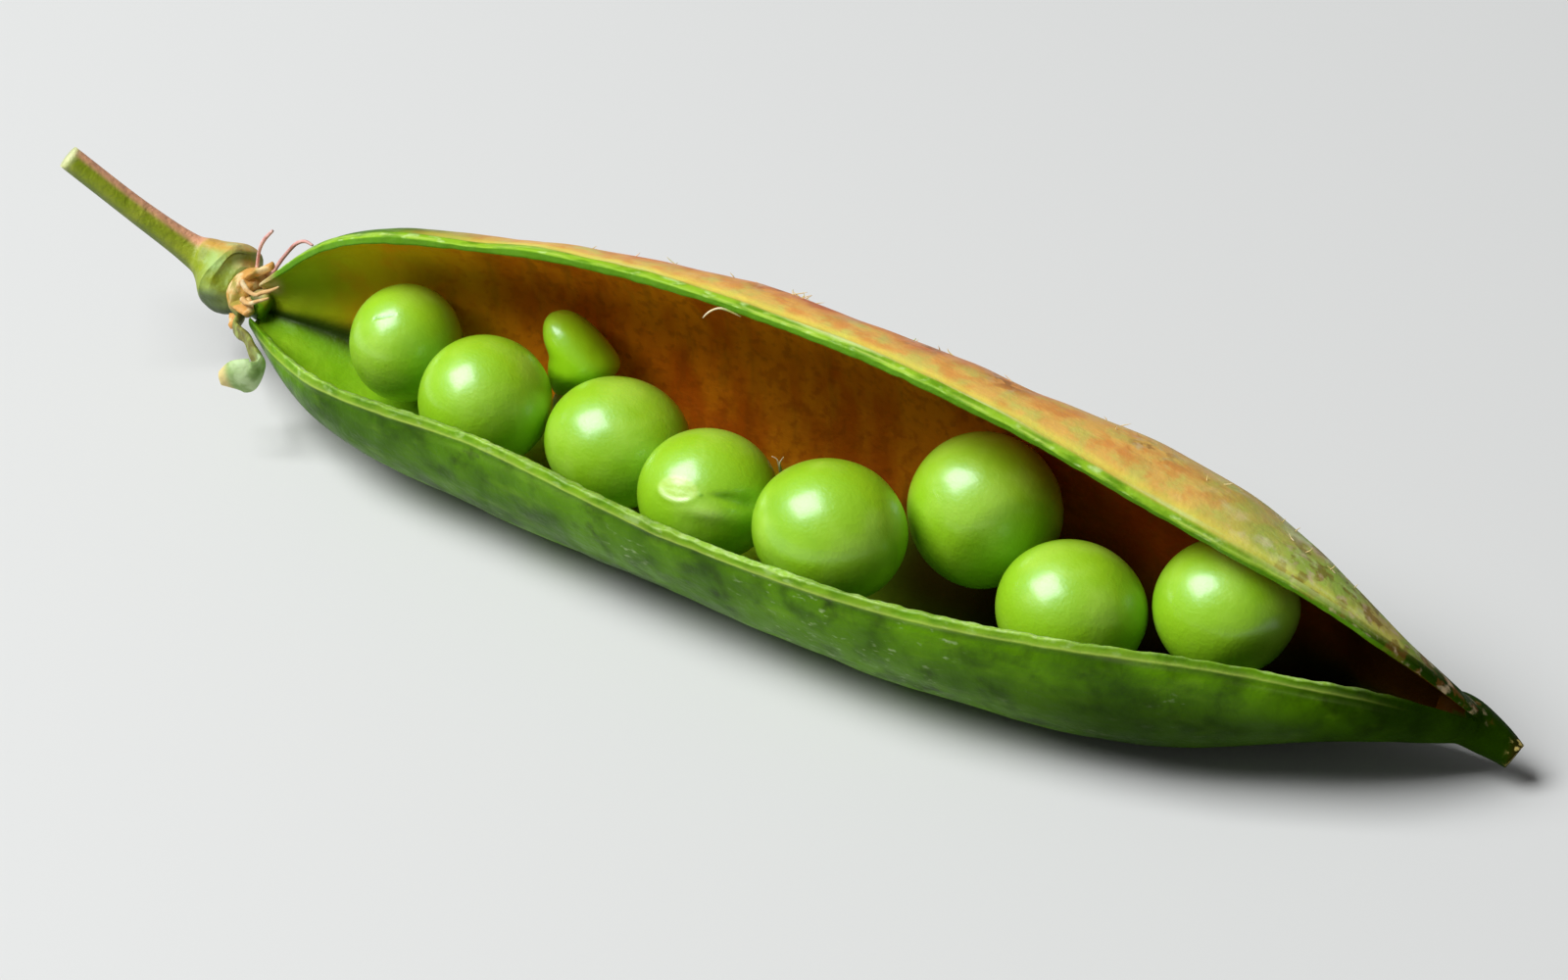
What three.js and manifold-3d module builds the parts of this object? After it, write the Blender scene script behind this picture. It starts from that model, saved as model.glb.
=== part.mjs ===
// An opened garden pea pod lying on its side, with its stem, its withered calyx, eight loose ripe
// peas and an undeveloped one.
//
// Millimetres, +Z up. The pod lies along X, stem end at -X and beak at +X, with its mouth facing -Y
// and upward. The origin is on the surface it lies on, under the middle of the pod.

import * as THREE from "three";
import { mergeVertices } from "three/addons/utils/BufferGeometryUtils.js";
import Module from "manifold-3d";

const wasm = await Module();
wasm.setup();

// ---------------------------------------------------------------- driving dimensions

const POD_LENGTH = 84; // both valves, from the neck to the base of the beak
const WALL = 1.0; // thickness of a valve's wall
const RIM_WALL = 0.6; // thickness where the wall thins out at its split edge
const WALL_SHARE = 0.14; // of the width: the most that the wall may take where the pod is narrow
const RIM_CURL = 0.7; // how far a valve's bend gathers toward its rim: 0 is an even arc
const REST_DEPTH = 0.2; // how far the belly is pressed flat where it rests

// The pod's cross-section at a few distances from the neck. Each valve leaves the closed dorsal
// seam at `lean` degrees above the horizontal and has turned by `turn` degrees more at its rim.
// `width` is the distance along a valve from the seam to the rim.
const RIB_MEASURES = ["at", "seamY", "seamZ", "width", "frontLean", "frontTurn", "backLean", "backTurn"];
const RIBS = [
    [0, 6.0, 5.7, 2.4, -35, 151, 62, 113],
    [7, 7.2, 4.2, 12.4, -31, 146, 69, 109],
    [20, 8.3, 1.5, 20.2, -19, 133, 70, 105],
    [38, 7.9, 1.6, 23.4, -20, 119, 72, 110],
    [55, 5.3, 1.9, 23.4, -24, 136, 71, 120],
    [70, 4.6, 1.6, 20.7, -20, 144, 73, 135],
    [79, 2.5, 2.5, 11.8, -10, 131, 85, 101],
    [84, 2.3, 2.1, 5.7, -1, 125, 96, 75],
    [86, 1.9, 2.5, 2.6, 2, 125, 97, 87],
];

const SHELL_START = 0.4; // the open shell begins here, closed off by the neck
const SHELL_END = 85.2; // and ends here, buried in the beak
const SHELL_STEPS = 42; // cross-sections along the shell
const END_CROWDING = 0.07; // how much closer they stand toward both ends: 0 is evenly spaced
const VALVE_STEPS = 12; // facets across one valve
const SKIN_STEPS = 60; // fine steps that a valve's curve is traced with

// Solid ends of the pod: a centre line with a radius at each point.
const NECK = [
    { at: [-43.0, 6.7, 6.3], radius: 0.7 },
    { at: [-42.1, 6.3, 6.15], radius: 0.8 },
    { at: [-41.5, 5.75, 6.1], radius: 1.1 },
    { at: [-41.0, 5.75, 5.95], radius: 0.75 },
];
const NECK_FACETS = { steps: 8, sides: 14 };
const BEAK = [
    { at: [40.6, 0.9, 3.7], radius: 1.0 },
    { at: [41.3, 0.9, 3.75], radius: 1.45 },
    { at: [42.2, 0.95, 3.5], radius: 1.5 },
    { at: [43.4, 1.0, 2.9], radius: 1.3 },
    { at: [44.5, 1.0, 2.35], radius: 1.05 },
    { at: [45.4, 0.85, 1.9], radius: 0.85 },
];
const BEAK_FACETS = { steps: 12, sides: 16 };

// The stem, cut at its free end, swells into the lumpy receptacle that carries the pod.
const STEM = [
    { at: [-55.2, 5.2, 14.0], radius: 0.8 },
    { at: [-51.3, 6.5, 10.4], radius: 0.82 },
    { at: [-48.2, 7.6, 7.7], radius: 1.0 },
    { at: [-46.8, 7.8, 7.0], radius: 1.5 },
    { at: [-45.4, 7.6, 6.4], radius: 2.4 },
    { at: [-44.4, 7.2, 6.2], radius: 2.2 },
    { at: [-43.6, 6.9, 6.3], radius: 1.3 },
];
const STEM_FACETS = { steps: 24, sides: 20 };
const RECEPTACLE_RIBS = 5; // one low rib under each sepal
const RECEPTACLE_RIB_RISE = 0.07; // of the radius
const RECEPTACLE_START = 2; // the ribs fade in from this point of the stem's line
const RECEPTACLE_FULL = 4; // and stand at their full rise from this one

// The withered calyx: a collar round the neck, torn sepal stubs and one long reflexed sepal.
const COLLAR = {
    centre: [-42.6, 6.45, 6.25],
    axis: [0.91, -0.4, -0.1],
    bore: 1.15,
    rim: 1.85,
    depth: 0.7,
    rounding: 0.2,
    sides: 20,
};
const SEPAL_THICKNESS = 0.7;
const SEPAL_STEPS = 3; // sections between two points of a sepal's line
// A sepal's section, in shares of its width and its thickness: flat faces and thin edges.
const SEPAL_SECTION = [[-0.5, 0], [-0.3, -0.5], [0.3, -0.5], [0.5, 0], [0.3, 0.5], [-0.3, 0.5]];
const LONG_SEPAL_ACROSS = [0.2, 0, 1]; // the direction that its blade is broad in
const LONG_SEPAL = [
    { at: [-43.0, 5.4, 5.0], width: 1.1 },
    { at: [-42.6, 4.1, 5.1], width: 1.0 },
    { at: [-41.8, 3.2, 5.5], width: 0.9 },
    { at: [-40.8, 2.35, 5.9], width: 0.9 },
    { at: [-39.8, 1.45, 5.9], width: 1.0 },
    { at: [-38.9, 0.65, 5.7], width: 1.4 },
    { at: [-38.3, -0.1, 5.5], width: 2.0 },
    { at: [-38.4, -0.85, 5.3], width: 2.6 },
    { at: [-39.3, -1.25, 5.3], width: 2.5 },
    { at: [-40.4, -1.5, 5.0], width: 1.0 },
];
const SEPAL_STUBS = [
    { turn: 20, length: 1.3, width: 1.5 },
    { turn: 95, length: 1.1, width: 1.3 },
    { turn: 175, length: 1.4, width: 1.6 },
];
const STUB_ROOT = 0.45; // how far a stub's root is sunk into the collar
const STUB_LEAN = 0.2; // the share of a stub's length that points along the pod
const STUB_TIP_WIDTH = 0.5;

// Loose peas, numbered from the stem. `size` is the half-extent along X, Y and Z.
const PEAS = [
    { name: "pea_1", at: [-29.8, 3.9, 7.6], size: [3.6, 3.7, 3.8] },
    { name: "pea_2", at: [-22.2, 0.3, 7.6], size: [4.2, 4.15, 4.1] },
    { name: "pea_3", at: [-13.2, 0.8, 6.8], size: [4.65, 4.3, 4.0] },
    { name: "pea_4", at: [-5.0, -3.2, 7.9], size: [4.35, 4.2, 3.95] },
    { name: "pea_5", at: [4.1, -5.2, 9.3], size: [4.8, 4.3, 4.3] },
    { name: "pea_6", at: [11.5, 0.8, 9.2], size: [4.75, 4.5, 4.85] },
    { name: "pea_7", at: [19.3, -4.3, 7.7], size: [4.55, 4.2, 4.1] },
    { name: "pea_8", at: [28.0, -1.8, 8.9], size: [4.35, 4.2, 4.15] },
];
const PEA_DETAIL = 3; // subdivisions of an icosahedron

// An undeveloped pea, pear-shaped, narrow end down between the ripe peas and the back valve.
const SMALL_PEA = [
    { at: [-19.4, 5.2, 6.0], radius: 0.5 },
    { at: [-19.0, 5.4, 6.8], radius: 1.3 },
    { at: [-18.3, 5.7, 7.7], radius: 2.1 },
    { at: [-18.1, 5.9, 8.6], radius: 2.25 },
    { at: [-18.7, 6.0, 9.6], radius: 1.95 },
    { at: [-19.2, 6.1, 10.5], radius: 1.45 },
    { at: [-19.5, 6.2, 11.1], radius: 0.95 },
    { at: [-19.6, 6.3, 11.4], radius: 0.4 },
];
const SMALL_PEA_FACETS = { steps: 14, sides: 16 };
const SMALL_PEA_AXIS = [0.0, 0.25, 0.97]; // its rings lie square to this

const FINISH = {
    shell: { color: 0x4f8a1c, roughness: 0.45 },
    stem: { color: 0x8fae5a, roughness: 0.6 },
    calyx: { color: 0xb5b784, roughness: 0.75 },
    pea: { color: 0x9acd3a, roughness: 0.35 },
    young: { color: 0x86c22c, roughness: 0.4 },
};

// ---------------------------------------------------------------- solids

/** Value at `t` on a smooth curve through `values` at the rising positions `knots`. */
function smooth(knots, values, t) {
    const slopes = values.slice(1).map((value, i) => (value - values[i]) / (knots[i + 1] - knots[i]));
    const tangents = values.map((_, i) => {
        if (i === 0) return slopes[0];
        if (i === values.length - 1) return slopes[i - 1];
        const before = knots[i] - knots[i - 1];
        const after = knots[i + 1] - knots[i];
        return (slopes[i - 1] * after + slopes[i] * before) / (before + after);
    });
    let i = 0;
    while (i < knots.length - 2 && t > knots[i + 1]) i += 1;
    const span = knots[i + 1] - knots[i];
    const u = (t - knots[i]) / span;
    return (2 * u ** 3 - 3 * u ** 2 + 1) * values[i] + (u ** 3 - 2 * u ** 2 + u) * span * tangents[i]
        + (3 * u ** 2 - 2 * u ** 3) * values[i + 1] + (u ** 3 - u ** 2) * span * tangents[i + 1];
}

/** A closed body through `rings`, all of one even count of points, with a ladder of facets over each end. */
function loft(rings) {
    const count = rings[0].length;
    const faces = [];
    for (let r = 0; r < rings.length - 1; r += 1) {
        for (let k = 0; k < count; k += 1) {
            const a = r * count + k;
            const b = r * count + (k + 1) % count;
            faces.push(a, b, a + count, b, b + count, a + count);
        }
    }
    const end = (rings.length - 1) * count;
    for (let k = 0; k < count / 2 - 1; k += 1) {
        const across = count - 1 - k;
        faces.push(k, across, across - 1, k, across - 1, k + 1);
        faces.push(end + k, end + across - 1, end + across, end + k, end + k + 1, end + across - 1);
    }
    const coordinates = rings.flat().flatMap((point) => point.toArray());
    const geometry = new THREE.BufferGeometry();
    geometry.setAttribute("position", new THREE.Float32BufferAttribute(coordinates, 3));
    geometry.setIndex(faces);
    return geometry;
}

/** The smooth open curve through the points of `line`. */
function curveThrough(line) {
    return new THREE.CatmullRomCurve3(line.map(({ at }) => new THREE.Vector3(...at)), false, "centripetal");
}

/** Round rings square to the smooth line through `line`, with `ripple` shaping each ring. */
function tubeRings(line, { steps, sides }, ripple = () => 1) {
    const path = curveThrough(line);
    const frames = path.computeFrenetFrames(steps, false);
    const knots = line.map((_, i) => i);
    return Array.from({ length: steps + 1 }, (_, i) => {
        const along = (i / steps) * (line.length - 1);
        const radius = smooth(knots, line.map((point) => point.radius), along);
        const centre = path.getPoint(i / steps);
        return Array.from({ length: sides }, (_, k) => {
            const angle = (k / sides) * 2 * Math.PI;
            const reach = radius * ripple(angle, along);
            return centre.clone()
                .addScaledVector(frames.normals[i], reach * Math.cos(angle))
                .addScaledVector(frames.binormals[i], reach * Math.sin(angle));
        });
    });
}

/** A manifold solid from a closed three.js geometry, turned outward if it is inside out. */
function toSolid(geometry) {
    const bare = geometry.clone();
    bare.deleteAttribute("normal");
    bare.deleteAttribute("uv");
    const merged = mergeVertices(bare, 1e-4);
    const index = Uint32Array.from(merged.index.array);
    const position = merged.attributes.position;
    let volume = 0;
    const corner = [0, 1, 2].map(() => new THREE.Vector3());
    for (let i = 0; i < index.length; i += 3) {
        corner.forEach((point, k) => point.fromBufferAttribute(position, index[i + k]));
        volume += corner[0].dot(corner[1].clone().cross(corner[2]));
    }
    if (volume < 0) index.reverse();
    const vertProperties = Float32Array.from(position.array);
    return new wasm.Manifold(new wasm.Mesh({ numProp: 3, vertProperties, triVerts: index }));
}

/** A three.js geometry from a manifold solid. */
function toGeometry(solid) {
    const { vertProperties, triVerts } = solid.getMesh();
    const geometry = new THREE.BufferGeometry();
    geometry.setAttribute("position", new THREE.BufferAttribute(Float32Array.from(vertProperties), 3));
    geometry.setIndex(new THREE.BufferAttribute(Uint32Array.from(triVerts), 1));
    geometry.computeVertexNormals();
    return geometry;
}

/** A named mesh of several geometries joined in one body. */
function part(name, finish, joined) {
    const body = joined.map(toSolid).reduce((sum, solid) => sum.add(solid));
    const material = new THREE.MeshStandardMaterial({ ...finish, metalness: 0 });
    const mesh = new THREE.Mesh(toGeometry(body), material);
    mesh.name = name;
    return mesh;
}

// ---------------------------------------------------------------- pod

/** The pod's own measures at distance `at` from the neck. */
function rib(at) {
    const knots = RIBS.map(([distance]) => distance);
    const measure = (k) => smooth(knots, RIBS.map((station) => station[k]), at);
    return Object.fromEntries(RIB_MEASURES.map((name, k) => [name, measure(k)]));
}

/** One valve's outer skin in fine steps from the seam to the rim; `side` is -1 for the front valve. */
function valveSkin({ seamY, seamZ }, width, lean, turn, side) {
    const heading = (t) => THREE.MathUtils.degToRad(lean + turn * ((1 - RIM_CURL) * t + RIM_CURL * t * t));
    const step = width / SKIN_STEPS;
    const skin = [{ y: seamY, z: seamZ, angle: heading(0), side }];
    for (let k = 0; k < SKIN_STEPS; k += 1) {
        const angle = heading((k + 0.5) / SKIN_STEPS);
        const { y, z } = skin[k];
        skin.push({ y: y + side * Math.cos(angle) * step, z: z + Math.sin(angle) * step, angle, side });
    }
    return skin;
}

/** Points along a valve, `wall` inside its skin, leaving out the share `skip` next to the seam. */
function valveLine(skin, skip, wall) {
    return Array.from({ length: VALVE_STEPS + 1 }, (_, k) => {
        const t = skip + (1 - skip) * (k / VALVE_STEPS);
        const i = Math.min(Math.floor(t * SKIN_STEPS), SKIN_STEPS - 1);
        const y = THREE.MathUtils.lerp(skin[i].y, skin[i + 1].y, t * SKIN_STEPS - i);
        const z = THREE.MathUtils.lerp(skin[i].z, skin[i + 1].z, t * SKIN_STEPS - i);
        const inset = wall * THREE.MathUtils.lerp(1, RIM_WALL / WALL, t ** 3);
        const { angle, side } = skin[i + 1];
        return new THREE.Vector2(y - side * Math.sin(angle) * inset, z + Math.cos(angle) * inset);
    });
}

/** The wall's closed outline at distance `at`: outside from front rim to back rim, then inside back. */
function shellRing(at) {
    const measures = rib(at);
    const { width, frontLean, frontTurn, backLean, backTurn } = measures;
    const front = valveSkin(measures, width, frontLean, frontTurn, -1);
    const back = valveSkin(measures, width, backLean, backTurn, 1);
    const wall = Math.min(WALL, WALL_SHARE * width);
    const halfCorner = THREE.MathUtils.degToRad(90 - (frontLean + backLean) / 2);
    const skip = wall / Math.tan(halfCorner) / width;
    const outside = [...valveLine(front, 0, 0).reverse(), ...valveLine(back, 0, 0).slice(1)];
    const inside = [...valveLine(front, skip, wall).reverse(), ...valveLine(back, skip, wall).slice(1)];
    const x = at - POD_LENGTH / 2;
    const pressed = ({ x: y, y: z }) => new THREE.Vector3(x, y, Math.max(z - REST_DEPTH, 0));
    return [...outside, ...inside.reverse()].map(pressed);
}

/** Both valves, the seam, the neck and the beak: one grown wall, pressed flat where it rests. */
function podShell() {
    const rings = Array.from({ length: SHELL_STEPS + 1 }, (_, i) => {
        const t = i / SHELL_STEPS;
        const eased = t + END_CROWDING * Math.sin(2 * Math.PI * (t - 0.5));
        return shellRing(SHELL_START + (SHELL_END - SHELL_START) * eased);
    });
    const neck = loft(tubeRings(NECK, NECK_FACETS));
    const beak = loft(tubeRings(BEAK, BEAK_FACETS));
    return part("pod_shell", FINISH.shell, [loft(rings), neck, beak]);
}

// ---------------------------------------------------------------- stem and calyx

/** The cut stem and the ribbed receptacle that it swells into. */
function stem() {
    const ribbed = (angle, along) => 1 + RECEPTACLE_RIB_RISE * Math.cos(RECEPTACLE_RIBS * angle)
        * THREE.MathUtils.smoothstep(along, RECEPTACLE_START, RECEPTACLE_FULL);
    return part("stem", FINISH.stem, [loft(tubeRings(STEM, STEM_FACETS, ribbed))]);
}

/** A sepal's blade: thin sections square to its line, their long side along `across`. */
function sepalBlade(line, across) {
    const path = curveThrough(line);
    const steps = SEPAL_STEPS * (line.length - 1);
    const knots = line.map((_, i) => i);
    const rings = Array.from({ length: steps + 1 }, (_, i) => {
        const centre = path.getPoint(i / steps);
        const along = path.getTangent(i / steps);
        const flat = across.clone().addScaledVector(along, -across.dot(along)).normalize();
        const normal = along.clone().cross(flat);
        const width = smooth(knots, line.map((point) => point.width), (i / steps) * (line.length - 1));
        return SEPAL_SECTION.map(([u, v]) => centre.clone()
            .addScaledVector(flat, u * width)
            .addScaledVector(normal, v * SEPAL_THICKNESS));
    });
    return loft(rings);
}

/** The collar, its torn stubs and the long sepal bent out beside the front valve. */
function calyx() {
    const { bore, rim, depth, rounding, sides } = COLLAR;
    const crest = rim - rounding;
    const profile = [[bore, 0], [crest, 0], [rim, depth / 2], [crest, depth], [bore, depth], [bore, 0]];
    const axis = new THREE.Vector3(...COLLAR.axis).normalize();
    const centre = new THREE.Vector3(...COLLAR.centre);
    const turned = new THREE.Quaternion().setFromUnitVectors(new THREE.Vector3(0, 1, 0), axis);
    const outline = profile.map(([x, y]) => new THREE.Vector2(x, y - depth / 2));
    const ring = new THREE.LatheGeometry(outline, sides).applyQuaternion(turned).translate(...centre);
    const stubs = SEPAL_STUBS.map(({ turn, length, width }) => {
        const out = new THREE.Vector3(0, 0, 1).applyAxisAngle(axis, THREE.MathUtils.degToRad(turn));
        const root = centre.clone().addScaledVector(out, rim - STUB_ROOT);
        const tip = root.clone()
            .addScaledVector(out, (1 - STUB_LEAN) * length)
            .addScaledVector(axis, STUB_LEAN * length);
        const middle = root.clone().lerp(tip, 0.5);
        const line = [
            { at: root.toArray(), width },
            { at: middle.toArray(), width },
            { at: tip.toArray(), width: STUB_TIP_WIDTH },
        ];
        return sepalBlade(line, axis.clone().cross(out));
    });
    const long = sepalBlade(LONG_SEPAL, new THREE.Vector3(...LONG_SEPAL_ACROSS));
    return part("calyx", FINISH.calyx, [ring, long, ...stubs]);
}

// ---------------------------------------------------------------- peas

/** One loose ripe pea: a slightly flattened ball. */
function pea({ name, at, size }) {
    const ball = new THREE.IcosahedronGeometry(1, PEA_DETAIL).scale(...size).translate(...at);
    return part(name, FINISH.pea, [ball]);
}

/** The undeveloped pea: level rings stacked along its leaning line, so that its bends don't fold. */
function smallPea() {
    const { steps, sides } = SMALL_PEA_FACETS;
    const path = curveThrough(SMALL_PEA);
    const knots = SMALL_PEA.map((_, i) => i);
    const radii = SMALL_PEA.map(({ radius }) => radius);
    const axis = new THREE.Vector3(...SMALL_PEA_AXIS).normalize();
    const first = new THREE.Vector3(1, 0, 0).addScaledVector(axis, -axis.x).normalize();
    const second = axis.clone().cross(first);
    const rings = Array.from({ length: steps + 1 }, (_, i) => {
        const radius = smooth(knots, radii, (i / steps) * (SMALL_PEA.length - 1));
        return Array.from({ length: sides }, (_, k) => {
            const angle = (k / sides) * 2 * Math.PI;
            return path.getPoint(i / steps)
                .addScaledVector(first, radius * Math.cos(angle))
                .addScaledVector(second, radius * Math.sin(angle));
        });
    });
    return part("pea_small", FINISH.young, [loft(rings)]);
}

const group = new THREE.Group();
group.add(podShell(), stem(), calyx(), ...PEAS.map(pea), smallPea());

export default group;
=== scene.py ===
"""A garden pea pod, split open and lying on its side, with its loose peas, stem and withered calyx."""

import logging
import math
from collections.abc import Callable, Sequence
from dataclasses import dataclass, field
from enum import Enum

import bpy
import numpy as np
from mathutils import Matrix, Vector, kdtree, noise


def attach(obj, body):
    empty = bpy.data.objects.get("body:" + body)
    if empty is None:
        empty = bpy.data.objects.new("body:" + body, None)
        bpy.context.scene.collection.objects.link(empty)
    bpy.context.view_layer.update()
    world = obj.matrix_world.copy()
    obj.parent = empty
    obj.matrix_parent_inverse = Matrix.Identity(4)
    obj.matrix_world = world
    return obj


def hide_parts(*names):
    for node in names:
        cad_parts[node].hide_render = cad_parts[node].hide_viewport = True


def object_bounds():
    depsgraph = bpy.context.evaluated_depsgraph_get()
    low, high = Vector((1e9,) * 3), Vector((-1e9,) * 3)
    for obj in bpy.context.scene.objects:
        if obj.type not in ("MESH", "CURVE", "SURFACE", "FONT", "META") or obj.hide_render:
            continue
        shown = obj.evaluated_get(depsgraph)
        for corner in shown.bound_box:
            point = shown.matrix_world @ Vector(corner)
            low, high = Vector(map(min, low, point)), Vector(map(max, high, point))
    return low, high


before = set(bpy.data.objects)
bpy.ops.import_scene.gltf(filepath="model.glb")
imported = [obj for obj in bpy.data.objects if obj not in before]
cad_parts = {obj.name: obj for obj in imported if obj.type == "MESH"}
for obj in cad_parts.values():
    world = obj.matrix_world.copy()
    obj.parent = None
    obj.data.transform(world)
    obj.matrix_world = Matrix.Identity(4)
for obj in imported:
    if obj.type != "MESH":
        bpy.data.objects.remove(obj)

LOG = logging.getLogger("pea_pod")
# Metres in a millimetre, and the gap in millimetres that every place keeps to the box of the solids.
MM = 0.001
BOX_MARGIN = 0.01
BODY = "root"
CAD_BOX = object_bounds()
Point = tuple[float, float, float]
Ripple = Callable[[np.ndarray, np.ndarray], np.ndarray]
# The Mix node's sockets have equal names, so they go by number.
MIX_FACTOR, MIX_BELOW, MIX_ABOVE, MIX_RESULT = 0, 6, 7, 2


# ------------------------------------------------------------------ tools


def linear(colour: str) -> tuple[float, float, float, float]:
    """Turns an sRGB hex colour to linear light.

    Args:
        colour: six hex digits, such as "8fc32e".

    Returns:
        Linear red, green and blue, and full opacity.
    """
    shares = [int(colour[i : i + 2], 16) / 255 for i in (0, 2, 4)]
    light = [s / 12.92 if s <= 0.04045 else ((s + 0.055) / 1.055) ** 2.4 for s in shares]
    return (light[0], light[1], light[2], 1.0)


def smooth(knots: Sequence[float], values: Sequence[float], at: np.ndarray | float) -> np.ndarray:
    """Values on the smooth curve through `values` at the rising positions `knots`.

    Args:
        knots: where the values stand.
        values: the values themselves.
        at: the positions asked for.

    Returns:
        One value for each position.
    """
    x = np.asarray(knots, float)
    v = np.asarray(values, float)
    gaps = np.diff(x)
    slopes = np.diff(v) / gaps
    tangents = np.empty_like(v)
    tangents[0], tangents[-1] = slopes[0], slopes[-1]
    tangents[1:-1] = (slopes[:-1] * gaps[1:] + slopes[1:] * gaps[:-1]) / (gaps[:-1] + gaps[1:])
    t = np.atleast_1d(np.asarray(at, float))
    i = np.clip(np.searchsorted(x, t, side="right") - 1, 0, len(x) - 2)
    u = (t - x[i]) / gaps[i]
    return (
        (2 * u**3 - 3 * u**2 + 1) * v[i]
        + (u**3 - 2 * u**2 + u) * gaps[i] * tangents[i]
        + (3 * u**2 - 2 * u**3) * v[i + 1]
        + (u**3 - u**2) * gaps[i] * tangents[i + 1]
    )


def fade(low: float, high: float, at: np.ndarray | float) -> np.ndarray:
    """A soft step from 0 at `low` to 1 at `high`."""
    u = np.clip((np.asarray(at, float) - low) / (high - low), 0.0, 1.0)
    return u * u * (3 - 2 * u)


def within(rise: tuple[float, float], fall: tuple[float, float], at: np.ndarray | float) -> np.ndarray:
    """A soft stretch of 1 that fades in over `rise` and out over `fall`."""
    return fade(*rise, at) * (1 - fade(*fall, at))


def hill(centre: float, width: float, at: np.ndarray | float) -> np.ndarray:
    """A soft hill of height 1 round `centre`."""
    return np.exp(-(((np.asarray(at, float) - centre) / width) ** 2))


def unit(vectors: np.ndarray | Sequence[float]) -> np.ndarray:
    """The same directions with a length of 1."""
    given = np.asarray(vectors, float)
    return given / np.linalg.norm(given, axis=-1, keepdims=True)


def grain(*axes: np.ndarray | float, seed: float = 0.0) -> np.ndarray:
    """Smooth noise between about -1 and 1 on up to three coordinates.

    Args:
        axes: the coordinates, in units of the noise's own grain.
        seed: moves the pattern, so that two patterns differ.

    Returns:
        One value for each place.
    """
    spread = np.broadcast_arrays(*[np.asarray(axis, float) for axis in axes])
    columns = [axis.ravel() for axis in spread] + [np.zeros(spread[0].size)] * (3 - len(axes))
    shift = np.array([17.3, 41.7, 73.1]) * seed
    spots = np.stack(columns, axis=1) + shift
    found = [noise.noise(Vector(spot)) for spot in spots.tolist()]
    return np.array(found).reshape(spread[0].shape)


def only(*pieces: bpy.types.Object) -> None:
    """Makes these the only selected objects, and the first of them the active one."""
    bpy.ops.object.select_all(action="DESELECT")
    for piece in pieces:
        piece.select_set(True)
    bpy.context.view_layer.objects.active = pieces[0]


def take(name: str) -> bpy.types.Object:
    """Names the primitive that was just added, drops its UV maps and hands it over."""
    piece = bpy.context.object
    piece.name = piece.data.name = name
    while piece.data.uv_layers:
        piece.data.uv_layers.remove(piece.data.uv_layers[0])
    return piece


def apply_all(piece: bpy.types.Object) -> None:
    """Applies every modifier of a piece in its order."""
    only(piece)
    for modifier in list(piece.modifiers):
        bpy.ops.object.modifier_apply(modifier=modifier.name)


def loft(name: str, rings: np.ndarray, **marks: np.ndarray) -> bpy.types.Object:
    """Makes one closed skin through rings of points, shaped from a grid and closed at both ends.

    Args:
        name: the new object's name.
        rings: rings by points by three, in millimetres.
        marks: values for each ring's points, kept on the mesh under their names.

    Returns:
        The new object, at the origin.
    """
    count, sides = rings.shape[:2]
    bpy.ops.object.select_all(action="DESELECT")
    bpy.ops.mesh.primitive_grid_add(x_subdivisions=sides, y_subdivisions=count - 1, size=1)
    piece = take(name)
    wrapped = np.concatenate([rings, rings[:, :1]], axis=1) * MM
    piece.data.vertices.foreach_set("co", wrapped.ravel())
    for title, values in marks.items():
        kept = piece.data.attributes.new(title, "FLOAT", "POINT")
        kept.data.foreach_set("value", np.concatenate([values, values[:, :1]], axis=1).ravel())
    bpy.ops.object.mode_set(mode="EDIT")
    bpy.ops.mesh.select_all(action="SELECT")
    bpy.ops.mesh.remove_doubles(threshold=1e-7)
    bpy.ops.mesh.select_all(action="DESELECT")
    bpy.ops.mesh.select_non_manifold(extend=False, use_wire=False, use_multi_face=False,
                                     use_non_contiguous=False, use_verts=False)
    bpy.ops.mesh.edge_face_add()
    bpy.ops.mesh.select_all(action="SELECT")
    bpy.ops.mesh.normals_make_consistent(inside=False)
    bpy.ops.object.mode_set(mode="OBJECT")
    return piece


def places(piece: bpy.types.Object) -> np.ndarray:
    """The places of a mesh's vertices, in millimetres."""
    found = np.empty(len(piece.data.vertices) * 3)
    piece.data.vertices.foreach_get("co", found)
    return found.reshape(-1, 3) / MM


def move_to(piece: bpy.types.Object, points: np.ndarray) -> None:
    """Moves a mesh's vertices to new places in millimetres, kept inside the box of the solids."""
    low, high = (np.array(corner) / MM for corner in CAD_BOX)
    kept = np.clip(points, low + BOX_MARGIN, high - BOX_MARGIN)
    kept[:, 2] = np.clip(points[:, 2], 0.0, high[2] - BOX_MARGIN)
    LOG.info("%s: at most %.3f mm held back by the box", piece.name, np.abs(kept - points).max())
    piece.data.vertices.foreach_set("co", (kept * MM).ravel())
    piece.data.update()


def join(pieces: list[bpy.types.Object], name: str) -> bpy.types.Object:
    """Joins several pieces in the first one, inside the box of the solids."""
    only(*pieces)
    bpy.ops.object.join()
    whole = pieces[0]
    whole.name = whole.data.name = name
    move_to(whole, places(whole))
    return whole


def mark(piece: bpy.types.Object, name: str, values: np.ndarray) -> None:
    """Keeps one value for each vertex on a mesh, for its material to read."""
    held = piece.data.attributes.get(name) or piece.data.attributes.new(name, "FLOAT", "POINT")
    held.data.foreach_set("value", np.asarray(values, float).ravel())


def read_mark(piece: bpy.types.Object, name: str) -> np.ndarray:
    """The value of one mark at each vertex of a mesh."""
    values = np.empty(len(piece.data.vertices))
    piece.data.attributes[name].data.foreach_get("value", values)
    return values


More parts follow.
